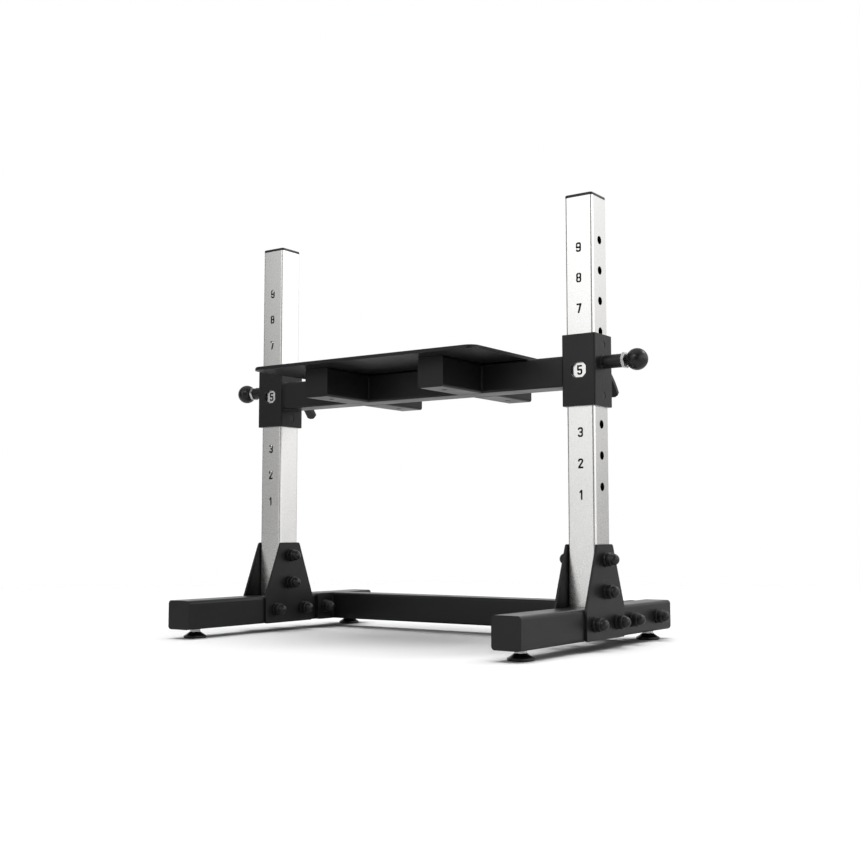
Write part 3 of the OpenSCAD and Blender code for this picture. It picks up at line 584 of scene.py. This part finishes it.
def lathe(bm, profile, place, segments=48, closed=False):
    """A turned shape from (radius, height) points. Closed joins the last point to the first."""
    rings = []
    for radius, height in profile:
        if radius < ON_AXIS:
            rings.append([bm.verts.new(place @ Vector((0, 0, height)))])
            continue
        angles = [FULL_TURN * i / segments for i in range(segments)]
        rings.append([bm.verts.new(place @ around(radius, angle, height)) for angle in angles])
    skin(bm, rings, closed)


def arc(centre, radius, start, end, steps):
    """Points along an arc, with angles in degrees."""
    points = []
    for i in range(steps + 1):
        angle = math.radians(start + (end - start) * i / steps)
        points.append((centre[0] + radius * math.cos(angle), centre[1] + radius * math.sin(angle)))
    return points


def eased(points, radius, steps=3, closed=False):
    """A line of points with its corners rounded. A radius of 0 in a list leaves that corner sharp."""
    count = len(points)
    radii = radius if isinstance(radius, (list, tuple)) else [radius] * count
    made = []
    for i, point in enumerate(points):
        ends = not closed and i in (0, count - 1)
        if ends or radii[i] <= 0:
            made.append(tuple(point))
            continue
        here = Vector(point)
        to_last = Vector(points[i - 1]) - here
        to_next = Vector(points[(i + 1) % count]) - here
        reach = min(radii[i], to_last.length * 0.49, to_next.length * 0.49)
        start = here + to_last.normalized() * reach
        end = here + to_next.normalized() * reach
        for k in range(steps + 1):
            t = k / steps
            made.append(tuple((1 - t) ** 2 * start + 2 * t * (1 - t) * here + t * t * end))
    return made


def rounded_loop(width, depth, radius, steps=6):
    """Corner-rounded rectangle around the origin, as 2D points in order."""
    loop = []
    for x, y, start in ((1, 1, 0), (-1, 1, 90), (-1, -1, 180), (1, -1, 270)):
        centre = (x * (width / 2 - radius), y * (depth / 2 - radius))
        loop += arc(centre, radius, start, start + 90, steps)
    return loop


def loft(bm, loops, place):
    """A skin through 2D loops at heights, given as (loop, height) pairs."""
    rings = []
    for loop, height in loops:
        rings.append([bm.verts.new(place @ Vector((x, y, height))) for x, y in loop])
    skin(bm, rings)


def hex_radius(width, angle):
    """Distance from a hexagon's middle to its side, in a direction."""
    sixth = math.pi / 3
    return width / 2 / math.cos((angle + sixth / 2) % sixth - sixth / 2)


def hex_nut(bm, width, height, bore, place):
    """A nut whose corners are chamfered by a cone at both ends, with a countersunk bore."""
    segments = 72
    flat = width / 2 * 0.965
    slope = math.tan(math.radians(28))
    sink = 0.0006
    columns = []
    for i in range(segments):
        angle = FULL_TURN * i / segments
        corner = hex_radius(width, angle)
        drop = (corner - flat) * slope
        lower = [(bore, sink), (bore + sink, 0), (flat, 0), (corner, drop)]
        upper = [(radius, height - z) for radius, z in reversed(lower)]
        columns.append([around(radius, angle, z) for radius, z in lower + upper])
    rings = [[bm.verts.new(place @ point) for point in ring] for ring in zip(*columns)]
    skin(bm, rings, closed=True)


def threaded_rod(bm, radius, pitch, length, place):
    """A rod with a rolled thread and chamfered ends."""
    segments = 24
    rows_per_turn = 6
    depth = 0.6 * pitch
    crest = 1.3
    chamfer = 0.0012
    rows = round(length / pitch * rows_per_turn)
    rings = []
    for row in range(rows + 1):
        z = length * row / rows
        tip = radius - chamfer + min(z, length - z)
        ring = []
        for i in range(segments):
            turn = (z / pitch - i / segments) % 1
            ridge = 1 - abs(2 * turn - 1)
            r = min(tip, radius - depth * (1 - min(1, ridge * crest)))
            ring.append(bm.verts.new(place @ around(r, FULL_TURN * i / segments, z)))
        rings.append(ring)
    skin(bm, rings)


def weld_bead(bm, path, radius, ripple, closed=False):
    """A weld bead along 3D points: a thin tube whose radius swells at each ripple."""
    count = len(path)
    sides = 8
    least = 0.84
    rings = []
    run = 0.0
    side = None
    for i, point in enumerate(path):
        last = path[i - 1] if closed or i > 0 else path[0]
        following = path[(i + 1) % count] if closed or i < count - 1 else path[-1]
        along = (following - last).normalized()
        if i > 0:
            run += (point - path[i - 1]).length
            side = (side - along * side.dot(along)).normalized()
        else:
            side = along.orthogonal().normalized()
        up = along.cross(side)
        swell = least + (1 - least) * abs(math.cos(math.pi * run / ripple))
        offsets = [around(radius * swell, FULL_TURN * k / sides) for k in range(sides)]
        rings.append([bm.verts.new(point + side * offset.x + up * offset.y) for offset in offsets])
    skin(bm, rings, closed)


def dense(points, step, closed=False):
    """Points set evenly along a line of 3D points."""
    ends = points + [points[0]] if closed else points
    made = []
    for start, end in zip(ends, ends[1:]):
        parts = max(1, round((end - start).length / step))
        made += [start.lerp(end, i / parts) for i in range(parts)]
    if not closed:
        made.append(points[-1])
    return made


def side_bead(bm, x, y, low, high):
    """A weld bead up the side of a beam, which stops short of the beam's edges."""
    welds = settings().welds
    ends = [Vector((x, y, low + BEAD_INSET)), Vector((x, y, high - BEAD_INSET))]
    weld_bead(bm, dense(ends, BEAD_STEP), welds.beam, welds.ripple)


# Pieces of the stand


class STEPUP_OT_rails(bpy.types.Operator):
    """Powder coat on rails, end plates, crossbar and flanges, with the crossbar's weld beads"""

    bl_idname = "stepup.rails"
    bl_label = "Rails and Crossbar"

    def execute(self, context):
        edge = settings().finish.plate_edge
        for node in ("rail_left", "rail_right", "rear_crossbar"):
            dress(node, "powder")
        for node in ("rail_end_plates", "crossbar_flanges"):
            dress(node, "powder", edge)
        self.welds()
        return {"FINISHED"}

    def welds(self):
        """Beads down the front and back of the crossbar where it meets its flanges."""
        low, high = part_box("rear_crossbar")
        bm = bmesh.new()
        for x in (low.x, high.x):
            for y in (low.y, high.y):
                side_bead(bm, x, y, low.z, high.z)
        make_piece("crossbar_weld_beads", bm, "powder", "base")


class STEPUP_OT_uprights(bpy.types.Operator):
    """Satin steel on the uprights, and moulded caps with ribbed plugs on top"""

    bl_idname = "stepup.uprights"
    bl_label = "Uprights and Caps"

    def execute(self, context):
        for side in SIDES:
            dress(f"upright_{side}", "steel", settings().finish.cut_edge)
        self.caps()
        return {"FINISHED"}

    def caps(self):
        """A cap with eased edges and a plug with two ribs, on each upright."""
        low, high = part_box("upright_caps")
        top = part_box("upright_right")[1].z
        side = high.y - low.y
        bm = bmesh.new()
        for x in (-UPRIGHT_X, UPRIGHT_X):
            place = Matrix.Translation((x, 0, 0))
            loft(bm, self.cap_loops(side, top, high.z - top), place)
            loft(bm, self.plug_loops(side - 0.0062, top, low.z), place)
        make_piece("moulded_upright_caps", bm, "plastic", "base", ["upright_caps"])

    def cap_loops(self, side, top, rise):
        """The cap, from the upright's end up, with an eased edge."""
        shell = [(0.0, 0.0), (0.0, 0.72), (0.0004, 0.88), (0.0011, 0.97), (0.0024, 1.0)]
        loops = []
        for inset, share in shell:
            wide = side - 2 * inset
            loops.append((rounded_loop(wide, wide, UPRIGHT_ROUND - inset / 3), top + rise * share))
        return loops

    def plug_loops(self, plug, top, bottom):
        """The plug inside the tube, down over its ribs and back up inside."""
        rib = 0.0008
        ribs = [(0, 0), (0, 0.3), (rib, 0.34), (0, 0.38), (0, 0.66), (rib, 0.7), (0, 0.74)]
        round_corner = 0.0014
        inner_corner = 0.0008
        loops = []
        for grow, share in ribs:
            wide = plug - rib + grow
            loops.append((rounded_loop(wide, wide, round_corner), top - (top - bottom) * share))
        loops.append((rounded_loop(plug - 0.003, plug - 0.003, round_corner), bottom))
        inner = rounded_loop(plug - 0.005, plug - 0.005, inner_corner)
        return loops + [(inner, bottom), (inner, top)]


class STEPUP_OT_gussets(bpy.types.Operator):
    """Powder coat on the four gusset plates"""

    bl_idname = "stepup.gussets"
    bl_label = "Gussets"

    def execute(self, context):
        for side in SIDES:
            for face in ("outer", "inner"):
                dress(f"gusset_{side}_{face}", "powder", settings().finish.plate_edge)
        return {"FINISHED"}


class STEPUP_OT_bolts(bpy.types.Operator):
    """Zinc bolts and nuts, and the moulded domes and washers that cover both ends of every bolt"""

    bl_idname = "stepup.bolts"
    bl_label = "Bolts and Domes"

    def execute(self, context):
        for node in ("upright_bolts", "rail_bolts", "crossbar_bolts", "bolt_nuts"):
            dress(node, "zinc")
        domes = bmesh.new()
        washers = bmesh.new()
        for place in self.bolt_ends():
            lathe(domes, self.dome_profile(), place)
            lathe(washers, self.washer_profile(), place, closed=True)
        make_piece("moulded_domes", domes, "plastic", "base", ["bolt_caps"])
        make_piece("moulded_washers", washers, "plastic", "base", ["cap_washers"])
        return {"FINISHED"}

    def bolt_ends(self):
        """Places of the washers' faces, with local Z pointing away from the plate."""
        bolts = settings().bolts
        crossbar_y = centre_of("rear_crossbar").y
        plates = [(0, bolts.upper_z), (0, bolts.lower_z), (-bolts.rail_y, RAIL_Z), (bolts.rail_y, RAIL_Z)]
        flanges = [(crossbar_y - bolts.flange_y, RAIL_Z), (crossbar_y + bolts.flange_y, RAIL_Z)]
        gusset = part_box("gusset_right_outer")[1].x
        rail_low, rail_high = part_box("rail_right")
        flange_thick = 0.006
        rail = rail_high.x
        flange = 2 * UPRIGHT_X - (rail_low.x - flange_thick)
        ends = []
        for side in (LEFT, RIGHT):
            for points, outer, inner in ((plates, gusset, gusset), (flanges, rail, flange)):
                for y, z in points:
                    ends.append(outward(side, side * outer, y, z))
                    ends.append(outward(-side, side * (2 * UPRIGHT_X - inner), y, z))
        return ends

    def dome_profile(self):
        """From the inner edge of the skirt, out and up over the dome, and back down inside it."""
        b = settings().bolts
        base = b.washer_height
        skirt = b.skirt_radius
        dome = b.dome_radius
        groove = skirt - 0.0004
        wall = 0.0013
        centre = b.dome_top - dome

        # Radius, height and easing of each corner
        corners = [
            (skirt - wall, base, 0),
            (groove, base, 0.0002),
            (groove, base + 0.0007, 0),
            (skirt, base + 0.0010, 0.0002),
            (skirt, b.skirt_top, 0.0011),
            (dome + 0.0002, b.skirt_top, 0.0003),
            (dome, b.skirt_top + 0.0006, 0.0003),
            (dome, centre, 0),
        ]
        outer = eased([corner[:2] for corner in corners], [corner[2] for corner in corners])
        top = arc((0, centre), dome, 0, 90, 14)[1:]
        top[-1] = (0.0, b.dome_top)
        inner_top = arc((0, centre), dome - wall, 90, 0, 8)
        inner_top[0] = (0.0, b.dome_top - wall)
        hollow = [(dome - wall, b.skirt_top - wall), (skirt - wall, b.skirt_top - wall)]
        return outer + top + inner_top + hollow + [(skirt - wall, base)]

    def washer_profile(self):
        """A ring with a tapered edge and an eased rim."""
        b = settings().bolts
        bore = 0.0053
        top_radius = b.washer_radius - b.washer_taper
        return eased(
            [(bore, 0), (b.washer_radius, 0), (top_radius, b.washer_height), (bore, b.washer_height)],
            [0, 0.0002, 0.0005, 0], closed=True)


class STEPUP_OT_feet(bpy.types.Operator):
    """Moulded levelling pads, threaded studs, lock nuts and weld nuts"""

    bl_idname = "stepup.feet"
    bl_label = "Levelling Feet"

    def execute(self, context):
        dress("foot_weld_nuts", "zinc")
        nut_bore = 0.0051
        nut_low, nut_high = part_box("foot_lock_nuts")
        nuts = bmesh.new()
        for corner in CORNERS:
            low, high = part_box(f"foot_pad_{corner}")
            middle = (low + high) / 2
            place = Matrix.Translation((middle.x, middle.y, nut_low.z))
            hex_nut(nuts, settings().feet.nut_width, nut_high.z - nut_low.z, nut_bore, place)
            self.pad(corner, middle, high)
            self.stud(corner)
        make_piece("foot_lock_nuts_chamfered", nuts, "zinc", "base", ["foot_lock_nuts"])
        return {"FINISHED"}

    def pad(self, corner, middle, high):
        """A pad with a rounded rim, a hollow-sided cone and a collar under the nut."""
        f = settings().feet
        rim = high.x - middle.x
        bore = 0.00505
        floor = 0.004
        edge = 0.0004
        steps = 6
        cone = []
        for i in range(steps + 1):
            t = i / steps
            radius = f.cone_base - (f.cone_base - f.cone_top) * t - edge * math.sin(math.pi * t)
            cone.append((radius, f.rim + edge + (high.z - f.rim - 2 * edge) * t))
        corners = [(0.0, 0.0), (rim - 0.0016, 0.0), (rim, 0.0009), (rim, f.rim), (f.cone_base, f.rim)]
        rounded_rim = eased(corners, [0, 0.0006, 0.0006, 0.0016, 0])
        inside = [(f.cone_top - edge, high.z), (bore, high.z), (bore, floor), (0.0, floor)]
        bm = bmesh.new()
        lathe(bm, rounded_rim + cone + inside, Matrix.Translation((middle.x, middle.y, 0)), 64)
        make_piece(f"levelling_pad_{corner}", bm, "foot", f"foot_{corner}", [f"foot_pad_{corner}"])

    def stud(self, corner):
        """A threaded stud in place of the plain CAD one."""
        node = f"foot_stud_{corner}"
        size = size_of(node)
        bm = bmesh.new()
        place = Matrix.Translation(centre_of(node) - Vector((0, 0, size.z / 2)))
        threaded_rod(bm, size.x / 2, settings().feet.pitch, size.z, place)
        make_piece(f"threaded_stud_{corner}", bm, "zinc", f"stud_{corner}", [node], sharp=80)


# Pieces of the carriage


class STEPUP_OT_sleeves(bpy.types.Operator):
    """Powder coat on the sleeves, and plastic guide liners inside them"""

    bl_idname = "stepup.sleeves"
    bl_label = "Sleeves and Liners"

    def execute(self, context):
        for side in SIDES:
            dress(f"sleeve_{side}", "powder", 0.0005)
        for node in ("upper_liners", "lower_liners"):
            dress(node, "plastic", 0.0003)
        return {"FINISHED"}


class STEPUP_OT_beams(bpy.types.Operator):
    """Powder coat on the crossbeam, the arms and their end plates, with weld beads"""

    bl_idname = "stepup.beams"
    bl_label = "Crossbeam and Arms"

    def execute(self, context):
        for node in ("crossbeam", "front_arms", "rear_arms"):
            dress(node, "powder")
        dress("arm_end_plates", "powder", settings().finish.plate_edge)
        bm = bmesh.new()
        self.beam_welds(bm)
        self.arm_welds(bm)
        make_piece("carriage_weld_beads", bm, "powder", "carriage")
        return {"FINISHED"}

    def beam_welds(self, bm):
        """A bead around each end of the crossbeam, where it meets a sleeve."""
        welds = settings().welds
        low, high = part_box("crossbeam")
        middle = (low + high) / 2
        loop = rounded_loop(high.y - low.y, high.z - low.z, 0.004)
        for x in (low.x, high.x):
            path = [Vector((x, middle.y + y, middle.z + z)) for y, z in loop]
            weld_bead(bm, dense(path, BEAD_STEP, closed=True), welds.beam, welds.ripple, closed=True)

    def arm_welds(self, bm):
        """Beads down both sides of each arm, where it meets the crossbeam."""
        low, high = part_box("crossbeam")
        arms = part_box("front_arms")
        side = high.y - low.y
        for x in (arms[0].x, arms[0].x + side, arms[1].x - side, arms[1].x):
            for y in (low.y, high.y):
                side_bead(bm, x, y, low.z, high.z)


class STEPUP_OT_platform(bpy.types.Operator):
    """The step plate, its tread mat and the screws that hold it from below"""

    bl_idname = "stepup.platform"
    bl_label = "Step Plate and Mat"

    def execute(self, context):
        dress("platform_plate", "powder", settings().finish.plate_edge)
        self.mat()
        self.screws()
        return {"FINISHED"}

    def mat(self):
        """A thin rubber mat with eased edges."""
        low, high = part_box("platform_mat")
        size = high - low
        radius = 0.017
        steps = [(0.0006, 0.0), (0.0, 0.25), (0.0, 0.6), (0.0003, 0.85), (0.001, 1.0)]
        loops = []
        for inset, share in steps:
            loop = rounded_loop(size.x - 2 * inset, size.y - 2 * inset, radius - inset, 10)
            loops.append((loop, low.z + size.z * share))
        bm = bmesh.new()
        loft(bm, loops, Matrix.Identity(4))
        make_piece("tread_mat", bm, "rubber", "carriage", ["platform_mat"])

    def screws(self):
        """Round-headed screws with a socket in the head."""
        low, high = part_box("plate_screws")
        length = high.z - low.z
        head = 0.003
        wide = 0.0043
        shank = 0.0025
        chamfer = 0.0005
        socket = 0.0014
        depth = 0.0021
        profile = [
            (0.0, depth), (socket, depth), (socket, 0.0002),
            (0.0023, 0.0), (0.0032, 0.0003), (0.0039, 0.0011), (wide, 0.0021), (wide, head),
            (shank, head), (shank, length - chamfer), (shank - chamfer, length), (0.0, length),
        ]
        bm = bmesh.new()
        for x in (low.x + wide, high.x - wide):
            for y in (low.y + wide, high.y - wide):
                lathe(bm, profile, Matrix.Translation((x, y, low.z)), 36)
        make_piece("socket_screws", bm, "zinc", "carriage", ["plate_screws"])


class STEPUP_OT_plungers(bpy.types.Operator):
    """Housings with weld beads, threaded bodies, lock nuts, pins, springs and ball knobs"""

    bl_idname = "stepup.plungers"
    bl_label = "Plungers"

    def execute(self, context):
        dress("plunger_housings", "powder", 0.0005)
        # The threaded bodies take the black powder coat, so the gap between each lock nut and knob is dark
        dress("plunger_bodies", "powder", 0.0003)
        nuts = bmesh.new()
        beads = bmesh.new()
        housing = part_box("plunger_housings")
        nut_start = housing[1].x
        nut_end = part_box("plunger_lock_nuts")[1].x
        nut_bore = 0.00805
        for name, side in SIDES.items():
            self.spring(name, side)
            self.pin(name, side)
            self.knob(name, side)
            place = outward(side, side * nut_start, 0, PIN_Z)
            hex_nut(nuts, settings().plungers.nut_width, nut_end - nut_start, nut_bore, place)
            self.bead(beads, side, housing)
        make_piece("plunger_nuts_chamfered", nuts, "zinc", "carriage", ["plunger_lock_nuts"])
        make_piece("housing_weld_beads", beads, "powder", "carriage")
        return {"FINISHED"}

    def spring(self, name, side):
        """A coil spring of wire along a helix, in place of the CAD spring."""
        p = settings().plungers
        node = f"plunger_spring_{name}"
        low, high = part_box(node)
        length = high.x - low.x
        radius = (high.z - low.z) / 2 - p.wire
        steps_per_turn = 24
        steps = steps_per_turn * p.turns
        path = []
        for i in range(steps + 1):
            point = around(radius, FULL_TURN * i / steps_per_turn)
            x = low.x + p.wire + (length - 2 * p.wire) * i / steps
            path.append(Vector((x, point.x, PIN_Z + point.y)))
        bm = bmesh.new()
        weld_bead(bm, path, p.wire, length)
        obj = make_piece(f"coil_spring_{name}", bm, "zinc", "carriage", [node])
        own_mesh(obj)

    def bead(self, bm, side, housing):
        """A weld bead around the housing's foot."""
        welds = settings().welds
        radius = (housing[1].y - housing[0].y) / 2
        x = side * (UPRIGHT_X + SLEEVE_HALF)
        path = [Vector((x, y, z)) for y, z in arc((0, PIN_Z), radius, 0, 357, 119)]
        weld_bead(bm, path, welds.housing, welds.ripple, closed=True)

    def pin(self, name, side):
        """The pin with its chamfered tip, and the rod behind it."""
        p = settings().plungers
        node = f"plunger_pin_{name}"
        low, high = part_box(node)
        start = low.x if side == RIGHT else high.x
        length = high.x - low.x
        radius = p.pin_radius
        end = p.pin_length
        tip = 0.001
        shoulder = 0.0004
        pin = [(0.0, 0.0), (radius - tip, 0.0), (radius, tip), (radius, end - shoulder)]
        rod = [(radius - shoulder, end), (p.rod_radius, end), (p.rod_radius, length), (0.0, length)]
        profile = eased(pin + rod, 0.0003)
        bm = bmesh.new()
        lathe(bm, profile, outward(side, start, 0, PIN_Z))
        make_piece(f"locking_pin_{name}", bm, "zinc", f"plunger_{name}", [node])

    def knob(self, name, side):
        """A ball knob with a flat face, an eased rim and a bore for the rod."""
        p = settings().plungers
        node = f"plunger_knob_{name}"
        low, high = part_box(node)
        start = low.x if side == RIGHT else high.x
        reach = math.sqrt(p.knob_radius ** 2 - p.flat_radius ** 2)
        rim_angle = -math.degrees(math.asin(reach / p.knob_radius))
        ball = arc((0, reach), p.knob_radius, rim_angle + 3, 90, 30)
        ball[-1] = (0.0, reach + p.knob_radius)
        bore = p.rod_radius + 0.00005
        depth = 0.0139
        sink = 0.0004
        face = [(0.0, depth), (bore, depth), (bore, sink), (bore + sink, 0.0)]
        rim = [(p.flat_radius - 0.0007, 0.0), (p.flat_radius - 0.0001, 0.00016)]
        bm = bmesh.new()
        lathe(bm, face + rim + ball, outward(side, start, 0, PIN_Z), 64)
        make_piece(f"ball_knob_{name}", bm, "plastic", f"plunger_{name}", [node])


class STEPUP_OT_clamps(bpy.types.Operator):
    """Brackets, pivot pins, cam levers, pistons and rubber pads"""

    bl_idname = "stepup.clamps"
    bl_label = "Clamp Levers"

    def execute(self, context):
        dress("clamp_brackets", "powder", 0.0005)
        dress("clamp_pivot_pins", "zinc", 0.0004)
        for side in SIDES:
            dress(f"clamp_lever_{side}", "plastic", 0.0006)
            dress(f"clamp_piston_{side}", "zinc", 0.0003)
            dress(f"clamp_pad_{side}", "rubber", 0.0004)
        return {"FINISHED"}


# Stage


class STEPUP_OT_stage(bpy.types.Operator):
    """Camera, pale floor, backdrop and soft light"""

    bl_idname = "stepup.stage"
    bl_label = "Stage"

    def execute(self, context):
        self.camera()
        self.floor()
        self.backdrop()
        self.lamps()
        context.scene.view_settings.view_transform = "Standard"
        return {"FINISHED"}

    def camera(self):
        """The camera at the photograph's viewing angle."""
        s = settings().stage
        data = bpy.data.cameras.new("camera")
        data.lens = s.lens
        data.sensor_width = 36
        data.clip_start = 0.01
        obj = add_object("camera", data)
        obj.location = s.camera
        obj.rotation_euler = (math.pi / 2 + s.pitch, 0, s.yaw)
        bpy.context.scene.camera = obj

    def floor(self):
        """A round floor that takes shadows and fades into the backdrop."""
        s = settings().stage
        bm = bmesh.new()
        rings = []
        for radius in (0.0, s.floor_clear, s.floor_end):
            count = 1 if radius == 0 else 96
            rings.append([bm.verts.new(around(radius, FULL_TURN * i / count)) for i in range(count)])
        skin(bm, rings, caps=False)
        obj = add_object("floor", bm)
        obj.data.materials.append(self.floor_material())

    def floor_material(self):
        """Pale matt floor whose edge turns clear, and which glossy surfaces see darker, as painted shade in
        their reflections.
        """
        s = settings().stage
        shader = Shader("pale_floor")
        # Painted shade in reflections: glossy rays see a darker floor than the camera does
        glossy = shader.add("ShaderNodeLightPath").outputs["Is Glossy Ray"]
        lightness = shader.mix(glossy, s.floor_colour, s.floor_shade_in_gloss)
        shader.set(Base_Color=lightness, Roughness=0.9, Specular_IOR_Level=0.1)
        distance = shader.vector("LENGTH", shader.place, output="Value")
        fade = shader.spread(distance, 0, 1, s.floor_clear, s.floor_end)
        clear = shader.add("ShaderNodeBsdfTransparent")
        mix = shader.add("ShaderNodeMixShader", {0: fade, 1: shader.surface.outputs[0], 2: clear.outputs[0]})
        shader.tree.links.new(mix.outputs[0], shader.tree.nodes["Material Output"].inputs["Surface"])
        return shader.material

    def backdrop(self):
        """A white background, a studio that shows in glossy surfaces, and light from above."""
        world = bpy.data.worlds.new("studio")
        bpy.context.scene.world = world
        world.use_nodes = True
        n = Nodes(world.node_tree)
        place = n.add("ShaderNodeTexCoord").outputs["Generated"]
        axes = n.add("ShaderNodeSeparateXYZ", {0: place}).outputs
        ray = n.add("ShaderNodeLightPath").outputs
        shown = n.math("MAXIMUM", ray["Is Glossy Ray"], ray["Is Transmission Ray"])
        level = n.mix(shown, self.sky(n, axes), self.studio(n, axes))
        background = n.tree.nodes["Background"]
        n.put(background.inputs["Strength"], n.mix(ray["Is Camera Ray"], level, 1.0))
        n.put(background.inputs["Color"], (1, 1, 1, 1))

    def sky(self, n, axes):
        """Light from straight above, and a little from the rest of the ceiling."""
        s = settings().stage
        ceiling = n.smooth(axes["Z"], 0.1, 0.6, 0.1 * s.sky_level, s.sky_level)
        return n.mix(n.smooth(axes["Z"], 0.9, 0.96), ceiling, s.top_level)

    def studio(self, n, axes):
        """What glossy surfaces see: white walls with a dim left end and a dim gap in front."""
        low = n.smooth(axes["Z"], -0.03, 0.27, 0.52, 1.0)
        left_end = n.smooth(axes["X"], -0.42, -0.78, 1.6, 0.1)
        from_gap = n.math("ABSOLUTE", n.math("SUBTRACT", axes["X"], 0.26), 0)
        gap = n.smooth(from_gap, 0.34, 0.6, 0.12, 1.0)
        front = n.math("MULTIPLY", low, n.math("MULTIPLY", left_end, gap))
        right = n.math("MULTIPLY", low, n.smooth(axes["X"], 0.45, 0.75, 0.74, 1.8))
        right = n.math("MULTIPLY", right, n.smooth(axes["Z"], -0.06, 0.18, 0.74, 1.12))
        rear = n.mix(n.smooth(axes["X"], 0.1, -0.4), right, 1.0)
        walls = n.mix(n.smooth(axes["Y"], -0.2, 0.2), front, rear)
        return n.math("MULTIPLY", walls, n.smooth(axes["Z"], 0.35, 0.7, 1.0, 0.45))

    def lamps(self):
        """A soft light at the rear right, and a weaker one at the front."""
        s = settings().stage
        self.lamp("key", s.key_power, s.key_size, s.key_place)
        self.lamp("fill", s.fill_power, s.fill_size, s.fill_place)

    def lamp(self, name, power, size, place):
        """A square light aimed at the stand's middle, and not seen itself."""
        data = bpy.data.lights.new(name, "AREA")
        data.shape = "SQUARE"
        data.size = size
        data.energy = power
        obj = add_object(name, data)
        obj.location = place
        aim = STAGE_MIDDLE - Vector(place)
        obj.rotation_euler = aim.to_track_quat("-Z", "Y").to_euler()
        obj.visible_camera = False


OPERATORS = (
    STEPUP_OT_rails,
    STEPUP_OT_uprights,
    STEPUP_OT_gussets,
    STEPUP_OT_bolts,
    STEPUP_OT_feet,
    STEPUP_OT_sleeves,
    STEPUP_OT_beams,
    STEPUP_OT_platform,
    STEPUP_OT_plungers,
    STEPUP_OT_clamps,
    STEPUP_OT_stage,
)


class STEPUP_PT_panel(bpy.types.Panel):
    """Buttons for the step-up platform's pieces and its stage."""

    bl_idname = "STEPUP_PT_panel"
    bl_label = "Step-up Platform"
    bl_space_type = "VIEW_3D"
    bl_region_type = "UI"
    bl_category = "Step-up Platform"

    def draw(self, context):
        for operator in OPERATORS:
            self.layout.operator(operator.bl_idname)


CLASSES = (
    FinishSettings,
    BoltSettings,
    FootSettings,
    PlungerSettings,
    WeldSettings,
    StageSettings,
    PlatformSettings,
    *OPERATORS,
    STEPUP_PT_panel,
)


def register():
    """Adds the classes and the scene's settings."""
    for cls in CLASSES:
        bpy.utils.register_class(cls)
    bpy.types.Scene.step_platform = PointerProperty(type=PlatformSettings)


def unregister():
    """Removes what register added."""
    del bpy.types.Scene.step_platform
    for cls in reversed(CLASSES):
        bpy.utils.unregister_class(cls)


def main():
    """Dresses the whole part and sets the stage."""
    register()
    for operator in OPERATORS:
        area, name = operator.bl_idname.split(".")
        getattr(getattr(bpy.ops, area), name)()


if __name__ == "__main__":
    main()
